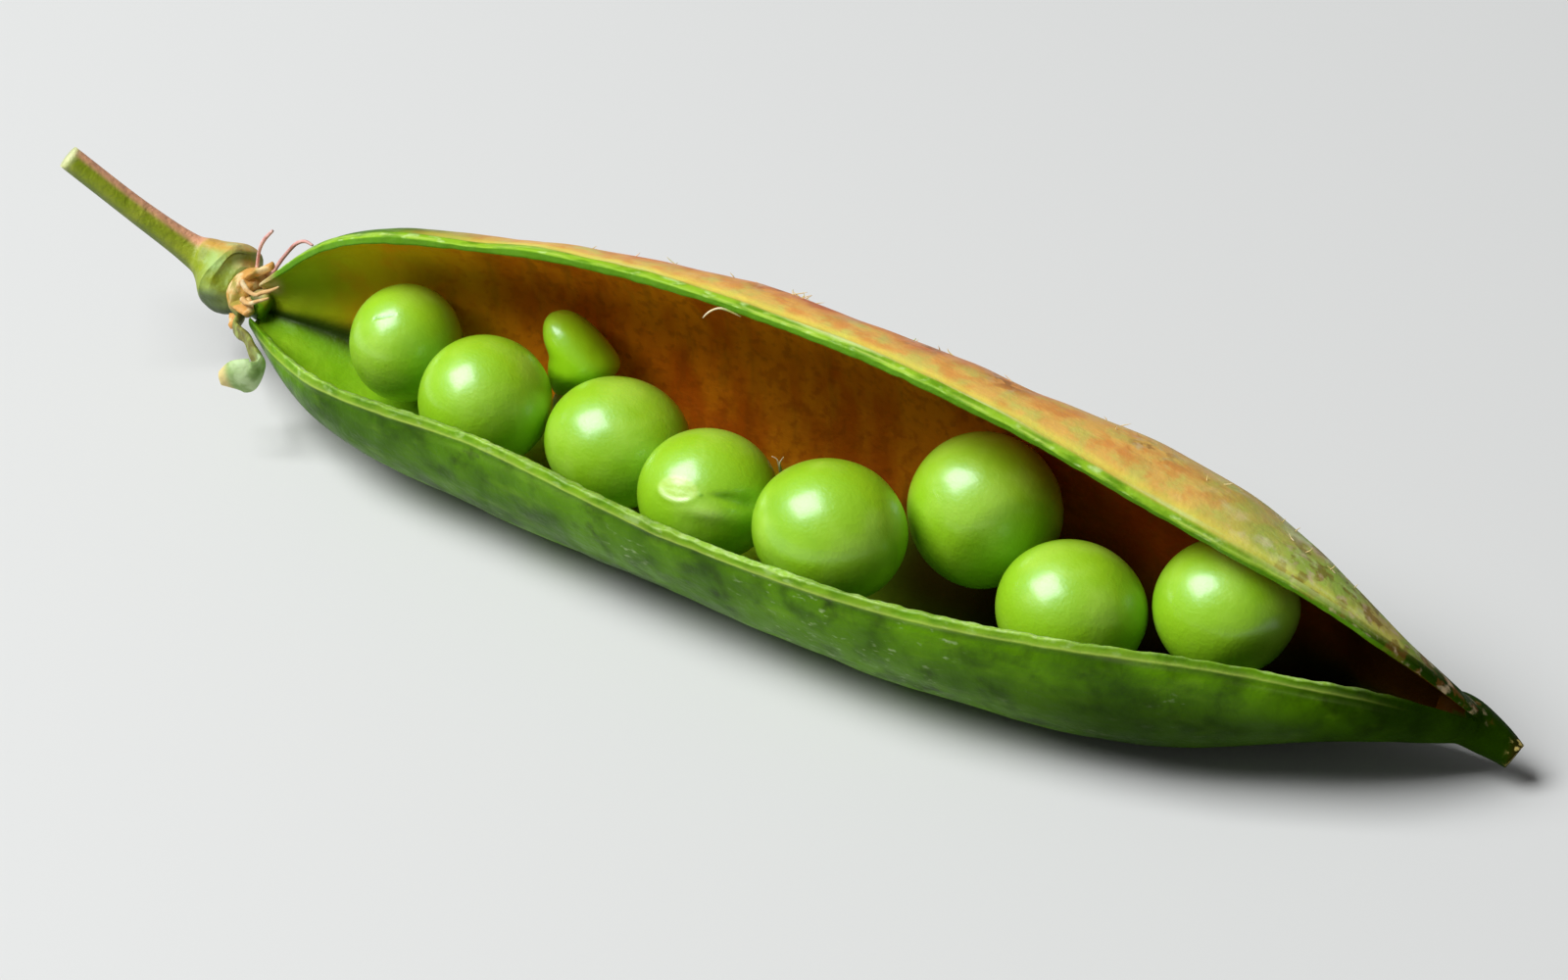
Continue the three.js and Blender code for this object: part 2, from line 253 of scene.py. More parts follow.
def finish_piece(piece: bpy.types.Object, material: bpy.types.Material, slot: str, *nodes: str) -> None:
    """Shades a piece smooth, dresses it and ties it to the frame.

    Args:
        piece: the finished object.
        material: what it is made of.
        slot: the name of a material slot in the record; not used.
        nodes: the solids that it stands for.
    """
    only(piece)
    bpy.ops.object.shade_smooth()
    piece.data.materials.clear()
    piece.data.materials.append(material)
    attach(piece, BODY)
    if nodes:
        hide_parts(*nodes)
    LOG.info("%s: %d faces", piece.name, len(piece.data.polygons))


@dataclass(frozen=True)
class Strand:
    """A smooth line through points, with a radius at each, that tubes and blades follow.

    Attributes:
        points: places in millimetres.
        radii: the radius or width at each place.
    """

    points: Sequence[Point]
    radii: Sequence[float]

    def trace(self, steps: int) -> tuple[np.ndarray, np.ndarray, np.ndarray, np.ndarray, np.ndarray]:
        """Walks along the line in even steps.

        Args:
            steps: how many steps to take.

        Returns:
            Places, radii, two directions square to the line, and the position along it from 0 to 1.
        """
        knots = np.arange(len(self.points), dtype=float)
        along = np.linspace(0, knots[-1], steps + 1)
        spots = np.stack([smooth(knots, [p[k] for p in self.points], along) for k in range(3)], axis=1)
        radii = smooth(knots, self.radii, along)
        heading = unit(np.gradient(spots, axis=0))
        side = np.cross(heading[0], [0.0, 0.0, 1.0])
        sides = []
        for ahead in heading:
            side = unit(side - ahead * np.dot(side, ahead))
            sides.append(side)
        first = np.array(sides)
        return spots, radii, first, np.cross(heading, first), along / knots[-1]

    def tube(self, steps: int, sides: int, ripple: Ripple | None = None) -> np.ndarray:
        """Round rings square to the line.

        Args:
            steps: rings along the line, less one.
            sides: points in each ring.
            ripple: the share of the radius at an angle and a position along, if the tube isn't round.

        Returns:
            Rings by points by three, in millimetres.
        """
        spots, radii, first, second, along = self.trace(steps)
        angle = np.linspace(0, 2 * math.pi, sides, endpoint=False)[None, :]
        reach = radii[:, None] * (ripple(angle, along[:, None]) if ripple else np.ones_like(angle))
        return (
            spots[:, None, :]
            + first[:, None, :] * (reach * np.cos(angle))[..., None]
            + second[:, None, :] * (reach * np.sin(angle))[..., None]
        )


# ------------------------------------------------------------------ finishes


def add_node(tree: bpy.types.NodeTree, kind: str, settings: dict | None = None,
             inputs: dict | None = None) -> bpy.types.Node:
    """Adds one node with its settings and its links.

    Args:
        tree: the material's node tree.
        kind: the node's type name.
        settings: properties of the node.
        inputs: a value or an output socket for each input, by name or number.

    Returns:
        The new node.
    """
    made = tree.nodes.new(kind)
    for key, value in (settings or {}).items():
        setattr(made, key, value)
    for key, value in (inputs or {}).items():
        if isinstance(value, bpy.types.NodeSocket):
            tree.links.new(value, made.inputs[key])
        else:
            made.inputs[key].default_value = value
    return made


class Painter:
    """Builds one material's layers on Object coordinates, with pattern sizes in millimetres."""

    def __init__(self, name: str) -> None:
        """Starts an empty material with its shader.

        Args:
            name: the material's name.
        """
        self.material = bpy.data.materials.new(name)
        self.material.use_nodes = True
        self.tree = self.material.node_tree
        self.shader = self.tree.nodes["Principled BSDF"]
        self.place = add_node(self.tree, "ShaderNodeTexCoord").outputs["Object"]

    def pattern(self, size_mm: float, low: float, high: float, detail: float = 3.0,
                stretch: Point = (1.0, 1.0, 1.0), shift: float = 0.0) -> bpy.types.NodeSocket:
        """A noise mask that is 0 under `low` and 1 over `high`.

        Args:
            size_mm: how large its patches are.
            low: the noise value where the mask begins.
            high: the noise value where it is full.
            detail: how many finer layers it has.
            stretch: how much finer it is along each axis.
            shift: moves the pattern, in metres.

        Returns:
            The mask's socket.
        """
        mapped = add_node(self.tree, "ShaderNodeMapping", inputs={
            "Vector": self.place, "Scale": stretch, "Location": (shift, shift, shift)})
        speckle = add_node(self.tree, "ShaderNodeTexNoise", inputs={
            "Vector": mapped.outputs[0], "Scale": 1 / (size_mm * MM), "Detail": detail})
        ranged = add_node(self.tree, "ShaderNodeMapRange", {"interpolation_type": "SMOOTHSTEP"}, {
            "Value": speckle.outputs[0], "From Min": low, "From Max": high})
        return ranged.outputs[0]

    def attribute(self, name: str) -> bpy.types.NodeSocket:
        """A mark kept on the mesh, as a mask that rises softly from 0 to 1."""
        held = add_node(self.tree, "ShaderNodeAttribute", {"attribute_name": name})
        ranged = add_node(self.tree, "ShaderNodeMapRange", {"interpolation_type": "SMOOTHSTEP"}, {
            "Value": held.outputs["Fac"]})
        return ranged.outputs[0]

    def maths(self, how: str, first: bpy.types.NodeSocket | float,
              second: bpy.types.NodeSocket | float) -> bpy.types.NodeSocket:
        """Joins two values by one operation of arithmetic."""
        return add_node(self.tree, "ShaderNodeMath", {"operation": how}, {0: first, 1: second}).outputs[0]

    def both(self, first: bpy.types.NodeSocket | str,
             second: bpy.types.NodeSocket | float) -> bpy.types.NodeSocket:
        """A mask, or a mark on the mesh by its name, times a second mask or a share."""
        mask = self.attribute(first) if isinstance(first, str) else first
        return self.maths("MULTIPLY", mask, second)

    def over(self, below: bpy.types.NodeSocket | str, *layers: tuple) -> bpy.types.NodeSocket:
        """Lays colours over one another, each where its mask shows it.

        Args:
            below: the lowest colour, as a socket or an sRGB hex.
            layers: a colour and a mask for each layer, and the share of the colour that shows where the
                mask is full, if that isn't all. A mask is a socket or the name of a mark on the mesh.

        Returns:
            The mixed colour's socket.
        """
        for above, mask, *share in layers:
            shown = self.attribute(mask) if isinstance(mask, str) else mask
            if share:
                shown = self.both(shown, share[0])
            lower, upper = (linear(c) if isinstance(c, str) else c for c in (below, above))
            mixed = add_node(self.tree, "ShaderNodeMix", {"data_type": "RGBA"}, {
                MIX_FACTOR: shown, MIX_BELOW: lower, MIX_ABOVE: upper})
            below = mixed.outputs[MIX_RESULT]
        return below

    def bumps(self, *layers: tuple[bpy.types.NodeSocket, float]) -> None:
        """Stacks bumps on the surface.

        Args:
            layers: a height from 0 to 1 and its real height in millimetres, coarse to fine.
        """
        normal = None
        for height, depth_mm in layers:
            inputs = {"Height": height, "Strength": 1.0, "Distance": depth_mm * MM}
            if normal is not None:
                inputs["Normal"] = normal
            normal = add_node(self.tree, "ShaderNodeBump", inputs=inputs).outputs[0]
        self.tree.links.new(normal, self.shader.inputs["Normal"])

    def close(self, **sockets: object) -> bpy.types.Material:
        """Links or sets the shader's own sockets.

        Args:
            sockets: a value or an output socket for each, with underscores for the spaces in its name.

        Returns:
            The finished material.
        """
        for key, value in sockets.items():
            held = self.shader.inputs[key.replace("_", " ")]
            if isinstance(value, bpy.types.NodeSocket):
                self.tree.links.new(value, held)
            else:
                held.default_value = value
        return self.material


@dataclass(frozen=True)
class PeaSkin:
    """Seed coat of a fresh garden pea: thin, waxy and a little translucent, with a soft broad gloss.

    Attributes:
        name: the material's name.
        green: the seed coat's main colour.
        pale: the colour of its lighter clouds.
        deep: the colour of its darker clouds.
    """

    name: str = "seed_coat_fresh"
    green: str = "98cb1c"
    pale: str = "b4de50"
    deep: str = "7fb51a"

    def make(self) -> bpy.types.Material:
        """Builds the material.

        Returns:
            The finished material.
        """
        paint = Painter(self.name)
        # The scar's lip is pale only on its lower side, a painted highlight, and the crease beside the scar
        # is darkened as painted shade; the scar's dot and a split pea's crack are the pea's own dark marks.
        scar = paint.over("c0e060", ("dcf0a0", "lip"))
        colour = paint.over(
            self.green,
            (self.pale, paint.pattern(3.5, 0.42, 0.7), 0.5),
            (self.deep, paint.pattern(5.0, 0.5, 0.75, shift=0.3), 0.4),
            (scar, "hilum"),
            ("5a920f", "crease"))
        # Orange-peel of about 0.25 mm, as the coat shrinks a little over the seed leaves.
        paint.bumps((paint.pattern(0.55, 0.3, 0.7, 2.0), 0.009), (paint.pattern(0.2, 0.3, 0.7, 1.0), 0.005))
        # A bluish bloom under a clear wax gives the broad soft gloss.
        return paint.close(Base_Color=colour, Roughness=0.42, IOR=1.45, Subsurface_Weight=0.13,
                           Subsurface_Radius=(1.0, 0.9, 0.12), Subsurface_Scale=0.0012,
                           Specular_IOR_Level=0.6, Specular_Tint=(0.5, 0.85, 1.0, 1.0),
                           Coat_Weight=0.8, Coat_IOR=1.52, Coat_Roughness=0.23)


@dataclass(frozen=True)
class PodSkin:
    """Pod wall: waxy green skin outside, fibrous lining inside, pale torn tissue along the split edges."""

    name: str = "pod_wall"

    def outside(self, paint: Painter) -> bpy.types.NodeSocket:
        """The skin's colour: mottled green, a back-valve blush largely of painted red light, scabbed and dry
        toward the beak.

        Args:
            paint: the material being built.

        Returns:
            The colour's socket.
        """
        # The crest of the back valve is peach, orange at its height, gold by the rim and pale green toward
        # the beak.
        # The peach and orange are partly its own blush and largely painted red light reflected onto it.
        orange = paint.over("e08a48", ("cf6a40", paint.pattern(1.6, 0.42, 0.62, 5.0)))
        peach = paint.over(
            "e6b45c",
            ("cfc05e", paint.pattern(1.6, 0.42, 0.66, 5.0)),
            ("dc8a44", paint.pattern(1.5, 0.44, 0.66, 5.0, shift=0.5), 0.7),
            (orange, "painted_warm_reflection"))
        pale = paint.over(
            "a3bd50",
            ("c9b864", paint.pattern(2.6, 0.42, 0.66, 4.0)),
            ("dfe3b0", paint.pattern(1.6, 0.52, 0.7, 4.0, shift=0.2), 0.6))
        # Pale flecks and bruises lie in loose groups. The scabs are brown rings with cream crusts, and the
        # beak's tip is dry and dark with cream scraps.
        flecks = paint.both(paint.pattern(0.5, 0.6, 0.75, 2.0, (0.6, 1.0, 1.3)),
                            paint.pattern(9.0, 0.55, 0.66, 1.0))
        bruises = paint.both(paint.pattern(1.6, 0.48, 0.7, 4.0), paint.pattern(7.0, 0.5, 0.62, shift=0.7))
        burnt = paint.both("scab", paint.pattern(1.0, 0.5, 0.6, 4.0))
        crusts = paint.both("scab", paint.pattern(0.8, 0.52, 0.7, 4.0))
        scraps = paint.both("dry", paint.pattern(0.5, 0.5, 0.62, 3.0))
        # Two greens in soft clouds come first, with darker and paler veins.
        return paint.over(
            "3a6000",
            ("5a8a00", paint.pattern(7.0, 0.36, 0.66)),
            ("243f00", paint.pattern(2.2, 0.46, 0.72, 4.0), 0.65),
            ("7fae20", paint.pattern(1.1, 0.52, 0.8, 3.0, (0.25, 1.0, 1.0)), 0.3),
            ("c8d8a4", flecks, 0.4),
            ("1c2406", bruises, 0.75),
            # Darker green toward the beak and low on the front valve: painted shade over the beak's own dark
            # green.
            ("182e00", "dark", 0.88),
            (pale, "pale"),
            (peach, "blush_and_painted_red_light"),
            ("dcd654", "gold"),
            ("7a4a22", burnt, 0.6),
            ("d4ba94", crusts, 0.7),
            ("2e2408", "dry", 0.75),
            ("cdb76a", scraps))

    def inside(self, paint: Painter) -> bpy.types.NodeSocket:
        """The lining's colour: green under the peas, olive then brown-orange over the back valve, largely
        painted red light.

        Args:
            paint: the material being built.

        Returns:
            The colour's socket.
        """
        # The olive, brown-orange and red stand largely for red light shining through the wall, painted
        # lighter for the light that the valve's shade keeps off.
        olive = paint.over("dcb80e", ("e8a010", paint.pattern(3.0, 0.4, 0.7)))
        brown = paint.over(
            "f28c12",
            ("d4650a", paint.pattern(2.6, 0.38, 0.66, 5.0, (1.0, 0.5, 0.45))),
            ("403606", paint.pattern(1.5, 0.52, 0.76, 4.0, (1.0, 0.25, 0.2), 0.4), 0.35),
            ("c64a08", "red", 0.8))
        mealy = paint.both("red_lit_lining", paint.pattern(0.7, 0.48, 0.66, 4.0, shift=0.9))
        return paint.over(
            "74a512",
            ("8fbb22", paint.pattern(4.0, 0.4, 0.7)),
            (olive, "olive"),
            (brown, "red_lit_lining"),
            ("b85a0c", mealy, 0.5),
            # Painted shade on the floor under the peas and on the lining toward the beak.
            ("221c03", "floor"),
            # A dark line along the seam near the neck: painted shade in its fold.
            ("22330a", "seam_fold_shade"))

    def edged(self, paint: Painter, colour: bpy.types.NodeSocket) -> bpy.types.NodeSocket:
        """Adds the split edge, a green band with pale streaks, a painted highlight line, painted shade under
        the back rim and torn fibres, and the dry neck with painted shade in its throat.

        Args:
            paint: the material being built.
            colour: the wall's colour so far.

        Returns:
            The colour's socket.
        """
        green = paint.over(
            "8fba26",
            ("629210", paint.pattern(0.9, 0.44, 0.66, 4.0, (0.4, 1.0, 1.0))),
            ("c4e08c", paint.pattern(0.6, 0.54, 0.7, 4.0, (0.5, 1.0, 1.0), 0.2), 0.7))
        torn = paint.over("a2cc4c", ("c8e48c", paint.pattern(0.35, 0.36, 0.7, 3.0)))
        cream = paint.over("cdb273", ("e6cf9c", paint.pattern(0.9, 0.42, 0.62, 3.0)))
        return paint.over(
            colour,
            (green, "band"),
            ("cfe08a", "stria"),
            # The bright line along each rim is a painted highlight.
            ("c5dc62", "line"),
            # A darker green just under the back rim's edge: painted shade.
            ("5c940c", "under"),
            (torn, "torn"),
            (cream, "cream", 0.85),
            # Painted shade in the throat beside the neck.
            ("2c3a08", "throat_shade", 0.5))

    def make(self) -> bpy.types.Material:
        """Builds the material from the marks that the wall's mesh carries.

        Returns:
            The finished material.
        """
        paint = Painter(self.name)
        colour = self.edged(paint, paint.over(self.outside(paint), (self.inside(paint), "lining")))
        rough = add_node(paint.tree, "ShaderNodeMapRange", inputs={
            "Value": paint.pattern(1.5, 0.35, 0.7), "To Min": 0.36, "To Max": 0.54}).outputs[0]
        # Fine veins across the pod, and a finer grain between them.
        paint.bumps((paint.pattern(1.6, 0.3, 0.7, 4.0, (0.5, 1.0, 1.0)), 0.05),
                    (paint.pattern(0.35, 0.3, 0.7, 2.0), 0.012))
        # A faint waxy gloss, next to none where the floor and the throat are painted in shade and where the
        # skin is darkest.
        dull = paint.maths("MAXIMUM", paint.attribute("floor"), paint.attribute("throat_shade"))
        dull = paint.maths("MAXIMUM", dull, paint.both("dark", 0.8))
        gloss = paint.both(paint.maths("SUBTRACT", 1.0, dull), 0.13)
        return paint.close(Base_Color=colour, Roughness=rough, IOR=1.45, Specular_IOR_Level=gloss,
                           Subsurface_Weight=0.1, Subsurface_Radius=(1.0, 0.55, 0.1), Subsurface_Scale=0.0012)


@dataclass(frozen=True)
class StalkSkin:
    """Stem and receptacle: soft green rind with corky pale patches, painted warm reflections on top and
    painted shade below.
    """

    name: str = "stem_rind"

    def make(self) -> bpy.types.Material:
        """Builds the material.

        Returns:
            The finished material.
        """
        paint = Painter(self.name)
        corky = paint.both("corky", paint.pattern(2.2, 0.4, 0.66, 3.0))
        colour = paint.over(
            "8a9a0c",
            ("a2ac28", paint.pattern(1.6, 0.4, 0.68)),
            # The peach on the stalk's top and the gold on the receptacle's top are painted warm reflections;
            # the dark underside is painted shade.
            ("f2b088", "painted_warm_reflection"),
            ("dba64e", "golden"),
            ("b8dc90", corky, 0.55),
            ("33480c", "shade"),
            ("d3d79a", "cut"))
        paint.bumps((paint.pattern(0.8, 0.3, 0.7, 4.0), 0.05), (paint.pattern(0.3, 0.3, 0.7, 2.0), 0.015))
        return paint.close(Base_Color=colour, Roughness=0.5, IOR=1.45, Subsurface_Weight=0.1,
                           Subsurface_Radius=(0.6, 0.8, 0.2), Subsurface_Scale=0.0008)


@dataclass(frozen=True)
class WitheredSepal:
    """Withered calyx: cream and tan papery collar, brown-green strip, pale green lobe with a tan tip."""

    name: str = "withered_sepal"

    def make(self) -> bpy.types.Material:
        """Builds the material from the marks that the calyx carries.

        Returns:
            The finished material.
        """
        paint = Painter(self.name)
        strip = paint.over("6e6a26", ("8f9a48", paint.pattern(0.9, 0.42, 0.64, 3.0)))
        cream = paint.over(
            "d29a4a",
            ("e8c88e", paint.pattern(1.0, 0.46, 0.64, 3.0)),
            ("8f8a30", paint.pattern(1.1, 0.5, 0.66, 3.0, shift=0.4), 0.8))
        colour = paint.over(
            "86a658",
            ("bcd498", paint.pattern(1.4, 0.4, 0.62, 3.0)),
            (strip, "strip"),
            (cream, "cream"),
            ("dcc884", "tip"),
            ("3c4a16", "shade"))
        paint.bumps((paint.pattern(0.5, 0.3, 0.7, 4.0), 0.03))
        return paint.close(Base_Color=colour, Roughness=0.6, IOR=1.45, Subsurface_Weight=0.1,
                           Subsurface_Radius=(0.6, 0.5, 0.3), Subsurface_Scale=0.0006)


@dataclass(frozen=True)
class DryTissue:
    """Dried stamens, prongs and torn fibres: papery, matt and mottled.

    Attributes:
        name: the material's name.
        base: its main colour.
        patch: the colour of its patches.
        edge: the colour of its driest parts.
    """

    name: str
    base: str
    patch: str
    edge: str

    def make(self) -> bpy.types.Material:
        """Builds the material.

        Returns:
            The finished material.
        """
        paint = Painter(self.name)
        colour = paint.over(
            self.base,
            (self.patch, paint.pattern(0.9, 0.42, 0.62, 3.0)),
            (self.edge, paint.pattern(1.5, 0.54, 0.7, 3.0, shift=0.6)))
        paint.bumps((paint.pattern(0.5, 0.3, 0.7, 4.0), 0.04))
        return paint.close(Base_Color=colour, Roughness=0.65, IOR=1.45, Subsurface_Weight=0.1,
                           Subsurface_Radius=(0.6, 0.5, 0.3), Subsurface_Scale=0.0006)


# ------------------------------------------------------------------ pod wall


class Side(Enum):
    """The two valves of the pod, as the sign of their side of the seam."""

    FRONT = -1
    BACK = 1


@dataclass(frozen=True)
class Spots:
    """Where each vertex of the finished wall lies on the pod, in millimetres.

    Attributes:
        points: its place.
        along: its distance from the neck.
        across: its level from the seam, 0, to a rim, 1, and negative on the front valve.
        depth: its distance from the rim.
        lining: 1 inside the pod.
        rim: 1 on a split edge.
        solid: where the wall has grown into the neck or the beak.
    """

    points: np.ndarray
    along: np.ndarray
    across: np.ndarray
    depth: np.ndarray
    lining: np.ndarray
    rim: np.ndarray
    solid: np.ndarray


@dataclass
class PodWall:
    """Both valves, the closed seam, the neck and the beak, grown as one wall. Sizes in millimetres.

    In the methods that mark tints, a pair of numbers says where a tint begins and where it is full:
    millimetres from the neck for `along` and from the rim for `depth`, and levels for `across`.

    Attributes:
        length: the valves' length.
        wall: the wall's thickness at the seam of a broad valve.
        rim_wall: its thickness at the rim.
        wall_share: the most that the thickness may be, as a share of a narrow valve's width.
        rim_curl: how much of a valve's turn lies near its rim.
        rest_depth: how deep the front valve is pressed flat where it rests.
        start, end: where the hollow wall starts and ends, from the neck.
        ribs: sections along the pod, each with where it stands, the place of its seam, the width of
            both valves, and the angle that each starts at and then turns by, in degrees.
        neck, beak: the solid ends.
        end_mesh: steps along each end and points round it.
        blends: where creases are smoothed, how far from there and how strongly.
        least_blend: the strength under which a place is left as it is.
        blend_steps: how often they are smoothed.
        ring_gap: the distance between the mesh's rings.
        skin_steps: steps in which a valve's curve is walked.
        broad_steps, edge_steps: points across a valve, before its edge strip and in it.
        edge_depth: the width of the edge strip, whose points lie closer.
        rim_steps: points across the split edge.
        broad_width: the width from which a valve has its full relief.
        solid_ends: before and after these places the wall is solid.
        scabs: where the crest has scabs, from the neck.
        scab_length: the reach of each one along the pod.
        scab_level: their level on the back valve.
    """

    length: float = 84.0
    wall: float = 1.0
    rim_wall: float = 0.6
    wall_share: float = 0.14
    rim_curl: float = 0.7
    rest_depth: float = 0.2
    start: float = 0.4
    end: float = 85.2
    # at, seam y, seam z, width, front lean, front turn, back lean, back turn
    ribs: tuple[tuple[float, ...], ...] = (
        (0, 6.0, 5.7, 2.4, -35, 151, 62, 113),
        (7, 7.2, 4.2, 12.4, -31, 146, 69, 109),
        (20, 8.3, 1.5, 20.2, -19, 133, 70, 105),
        (38, 7.9, 1.6, 23.4, -20, 119, 72, 110),
        (55, 5.3, 1.9, 23.4, -24, 136, 71, 120),
        (70, 4.6, 1.6, 20.7, -20, 144, 73, 135),
        (79, 2.5, 2.5, 11.8, -10, 131, 85, 101),
        (84, 2.3, 2.1, 5.7, -1, 125, 96, 75),
        (86, 1.9, 2.5, 2.6, 2, 125, 97, 87),
    )
    neck: Strand = Strand(((-43.0, 6.7, 6.3), (-42.1, 6.3, 6.15), (-41.5, 5.75, 6.1), (-41.0, 5.75, 5.95)),
                          (0.7, 0.8, 1.1, 0.75))
    beak: Strand = Strand(((40.6, 0.9, 3.7), (41.3, 0.9, 3.75), (42.2, 0.95, 3.5), (43.4, 1.0, 2.9),
                           (44.5, 1.0, 2.35), (45.4, 0.85, 1.9)), (1.0, 1.45, 1.5, 1.3, 1.05, 0.85))
    end_mesh: tuple[int, int] = (28, 40)
    blends: tuple[tuple[float, float, float], ...] = ((42.3, 1.5, 1.0), (-41.5, 0.5, 0.6), (45.7, 0.8, 0.9))
    least_blend: float = 0.02
    blend_steps: int = 14
    ring_gap: float = 0.27
    skin_steps: int = 60
    broad_steps: int = 30
    edge_steps: int = 12
    edge_depth: float = 2.2
    rim_steps: int = 3
    broad_width: float = 12.0
    solid_ends: tuple[float, float] = (-41.3, 42.4)
    scabs: tuple[float, ...] = (37.5, 48.5, 54.5, 64.0)
    scab_length: float = 1.5
    scab_level: float = 0.8

    def levels(self, width: float) -> np.ndarray:
        """Positions across a valve from the seam to the rim, closer together near the rim."""
        share = min(0.5, self.edge_depth / width)
        broad = np.linspace(0, 1 - share, self.broad_steps, endpoint=False)
        return np.concatenate([broad, np.linspace(1 - share, 1, self.edge_steps + 1)])

    def valve(self, at: float, side: Side) -> tuple[np.ndarray, ...]:
        """One valve's outer and inner line at a distance from the neck.

        Args:
            at: the distance along the pod.
            side: which valve.

        Returns:
            The outer points, the inner points, the level of each and its distance from the rim.
        """
        found = self.measures(at)
        width = found["width"]
        which = side.name.lower()
        lean, turn = found[f"{which}_lean"], found[f"{which}_turn"]
        wall = min(self.wall, self.wall_share * width)
        corner = math.radians(90 - (found["front_lean"] + found["back_lean"]) / 2)
        skip = wall / math.tan(corner) / width

        def heading(t: np.ndarray) -> np.ndarray:
            """The skin's direction at a level, in radians from level ground."""
            return np.radians(lean + turn * ((1 - self.rim_curl) * t + self.rim_curl * t * t))

        step = width / self.skin_steps
        middles = (np.arange(self.skin_steps) + 0.5) / self.skin_steps
        knots = np.linspace(0, 1, self.skin_steps + 1)
        ys = found["seam_y"] + np.concatenate([[0], np.cumsum(side.value * np.cos(heading(middles)) * step)])
        zs = found["seam_z"] + np.concatenate([[0], np.cumsum(np.sin(heading(middles)) * step)])
        level = self.levels(width)
        x = at - self.length / 2
        lines = []
        for start, thick, lining in ((0.0, 0.0, False), (skip, wall, True)):
            t = start + (1 - start) * level
            inset = thick * (1 + (self.rim_wall / self.wall - 1) * t**3)
            normal = np.stack([-side.value * np.sin(heading(t)), np.cos(heading(t))], axis=1)
            tangent = np.stack([side.value * np.cos(heading(t)), np.sin(heading(t))], axis=1)
            depth = (1 - t) * width
            base = np.stack([np.interp(t, knots, ys), np.interp(t, knots, zs)], axis=1)
            rise, pull = self.relief(x, t, depth, width, side, lining)
            inward = inset + rise if lining else inset - rise
            lines.append(base + normal * inward[:, None] - tangent * pull[:, None])
        return lines[0], lines[1], level, (1 - level) * width

    def measures(self, at: float) -> dict[str, float]:
        """The pod's measures at a distance from the neck."""
        names = ("at", "seam_y", "seam_z", "width", "front_lean", "front_turn", "back_lean", "back_turn")
        columns = list(zip(*self.ribs))
        return {name: float(smooth(columns[0], values, at)[0]) for name, values in zip(names, columns)}

    def relief(self, x: float, t: np.ndarray, depth: np.ndarray, width: float, side: Side,
               lining: bool) -> tuple[np.ndarray, np.ndarray]:
        """How far the skin stands out, and how far its edge is torn back, in millimetres.

        Args:
            x: the place along the pod.
            t: levels across the valve.
            depth: distances from the rim.
            width: the valve's width there.
            side: which valve.
            lining: whether it is the inside.

        Returns:
            The rise along the skin's outward direction and the pull back from the rim.
        """
        # Heights and the sizes of lumps are millimetres: broad lumps with finer ones on them, a bead along
        # the seam, a wavy crest on the back valve, and a raised line with a groove beside it by the rim.
        scale = float(fade(3.0, self.broad_width, width))
        across = t * width
        seed = 3.0 + side.value + 5 * lining
        lumps = 0.16 * grain(x / 6.5, across / 6.0, seed=seed)
        lumps = lumps + 0.05 * grain(x / 2.1, across / 2.6, seed=seed + 1)
        crest = 0.2 * grain(x / 4.2, seed=41) * hill(0.62, 0.22, t) if side is Side.BACK else 0.0
        if lining:
            rise = 0.5 * lumps + 0.05 * grain(x / 0.9, across / 4.0, seed=9.0) - crest
        else:
            rise = lumps - 0.1 + 0.22 * hill(0.0, 0.5, across) + crest
            rise = rise + 0.09 * hill(0.55, 0.16, depth) - 0.05 * hill(0.95, 0.22, depth)
        near = 1 - fade(0.0, 0.9, depth)
        ragged = 0.3 * grain(x / 5.0, seed=seed + 2) + 0.35 * grain(x / 0.8, seed=seed + 3)
        tear = np.clip(0.15 + ragged, 0.0, 0.8) * (0.35 if side is Side.FRONT else 0.22)
        return rise * scale, tear * near * scale

    def ring(self, at: float) -> tuple[np.ndarray, dict[str, np.ndarray]]:
        """The wall's closed outline at a distance from the neck.

        Args:
            at: the distance along the pod.

        Returns:
            The ring's points and the marks of each one.
        """
        x = at - self.length / 2
        outer_front, inner_front, level, front_depth = self.valve(at, Side.FRONT)
        outer_back, inner_back, _, back_depth = self.valve(at, Side.BACK)
        outside = np.concatenate([outer_front[::-1], outer_back[1:]])
        inside = np.concatenate([inner_front[::-1], inner_back[1:]])[::-1]
        mix = (np.arange(self.rim_steps) + 1) / (self.rim_steps + 1)
        crumbly = 0.4 + 0.6 * float(fade(-0.1, 0.25, grain(x / 5.0, seed=23)))
        crumbs = 0.08 * crumbly * grain(x / 0.9, mix * 2, seed=21)
        back_rim = outside[-1] + (inside[0] - outside[-1]) * mix[:, None]
        front_rim = inside[-1] + (outside[0] - inside[-1]) * mix[:, None]
        front_rim[:, 1] += crumbs * min(1.0, self.measures(at)["width"] / self.broad_width)
        flat = np.concatenate([outside, back_rim, inside, front_rim])
        across = np.concatenate([-level[::-1], level[1:]])
        depth = np.concatenate([front_depth[::-1], back_depth[1:]])
        count = self.rim_steps
        marks = {
            "across": np.concatenate([across, np.ones(count), across[::-1], -np.ones(count)]),
            "depth": np.concatenate([depth, np.zeros(count), depth[::-1], np.zeros(count)]),
            "lining": np.concatenate([0 * across, np.zeros(count), 1 + 0 * across, np.zeros(count)]),
            "rim": np.concatenate([0 * across, np.ones(count), 0 * across, np.ones(count)]),
            "along": np.full(len(flat), at),
        }
        height = np.maximum(flat[:, 1] - self.rest_depth, 0)
        return np.column_stack([np.full(len(flat), x), flat[:, 0], height]), marks

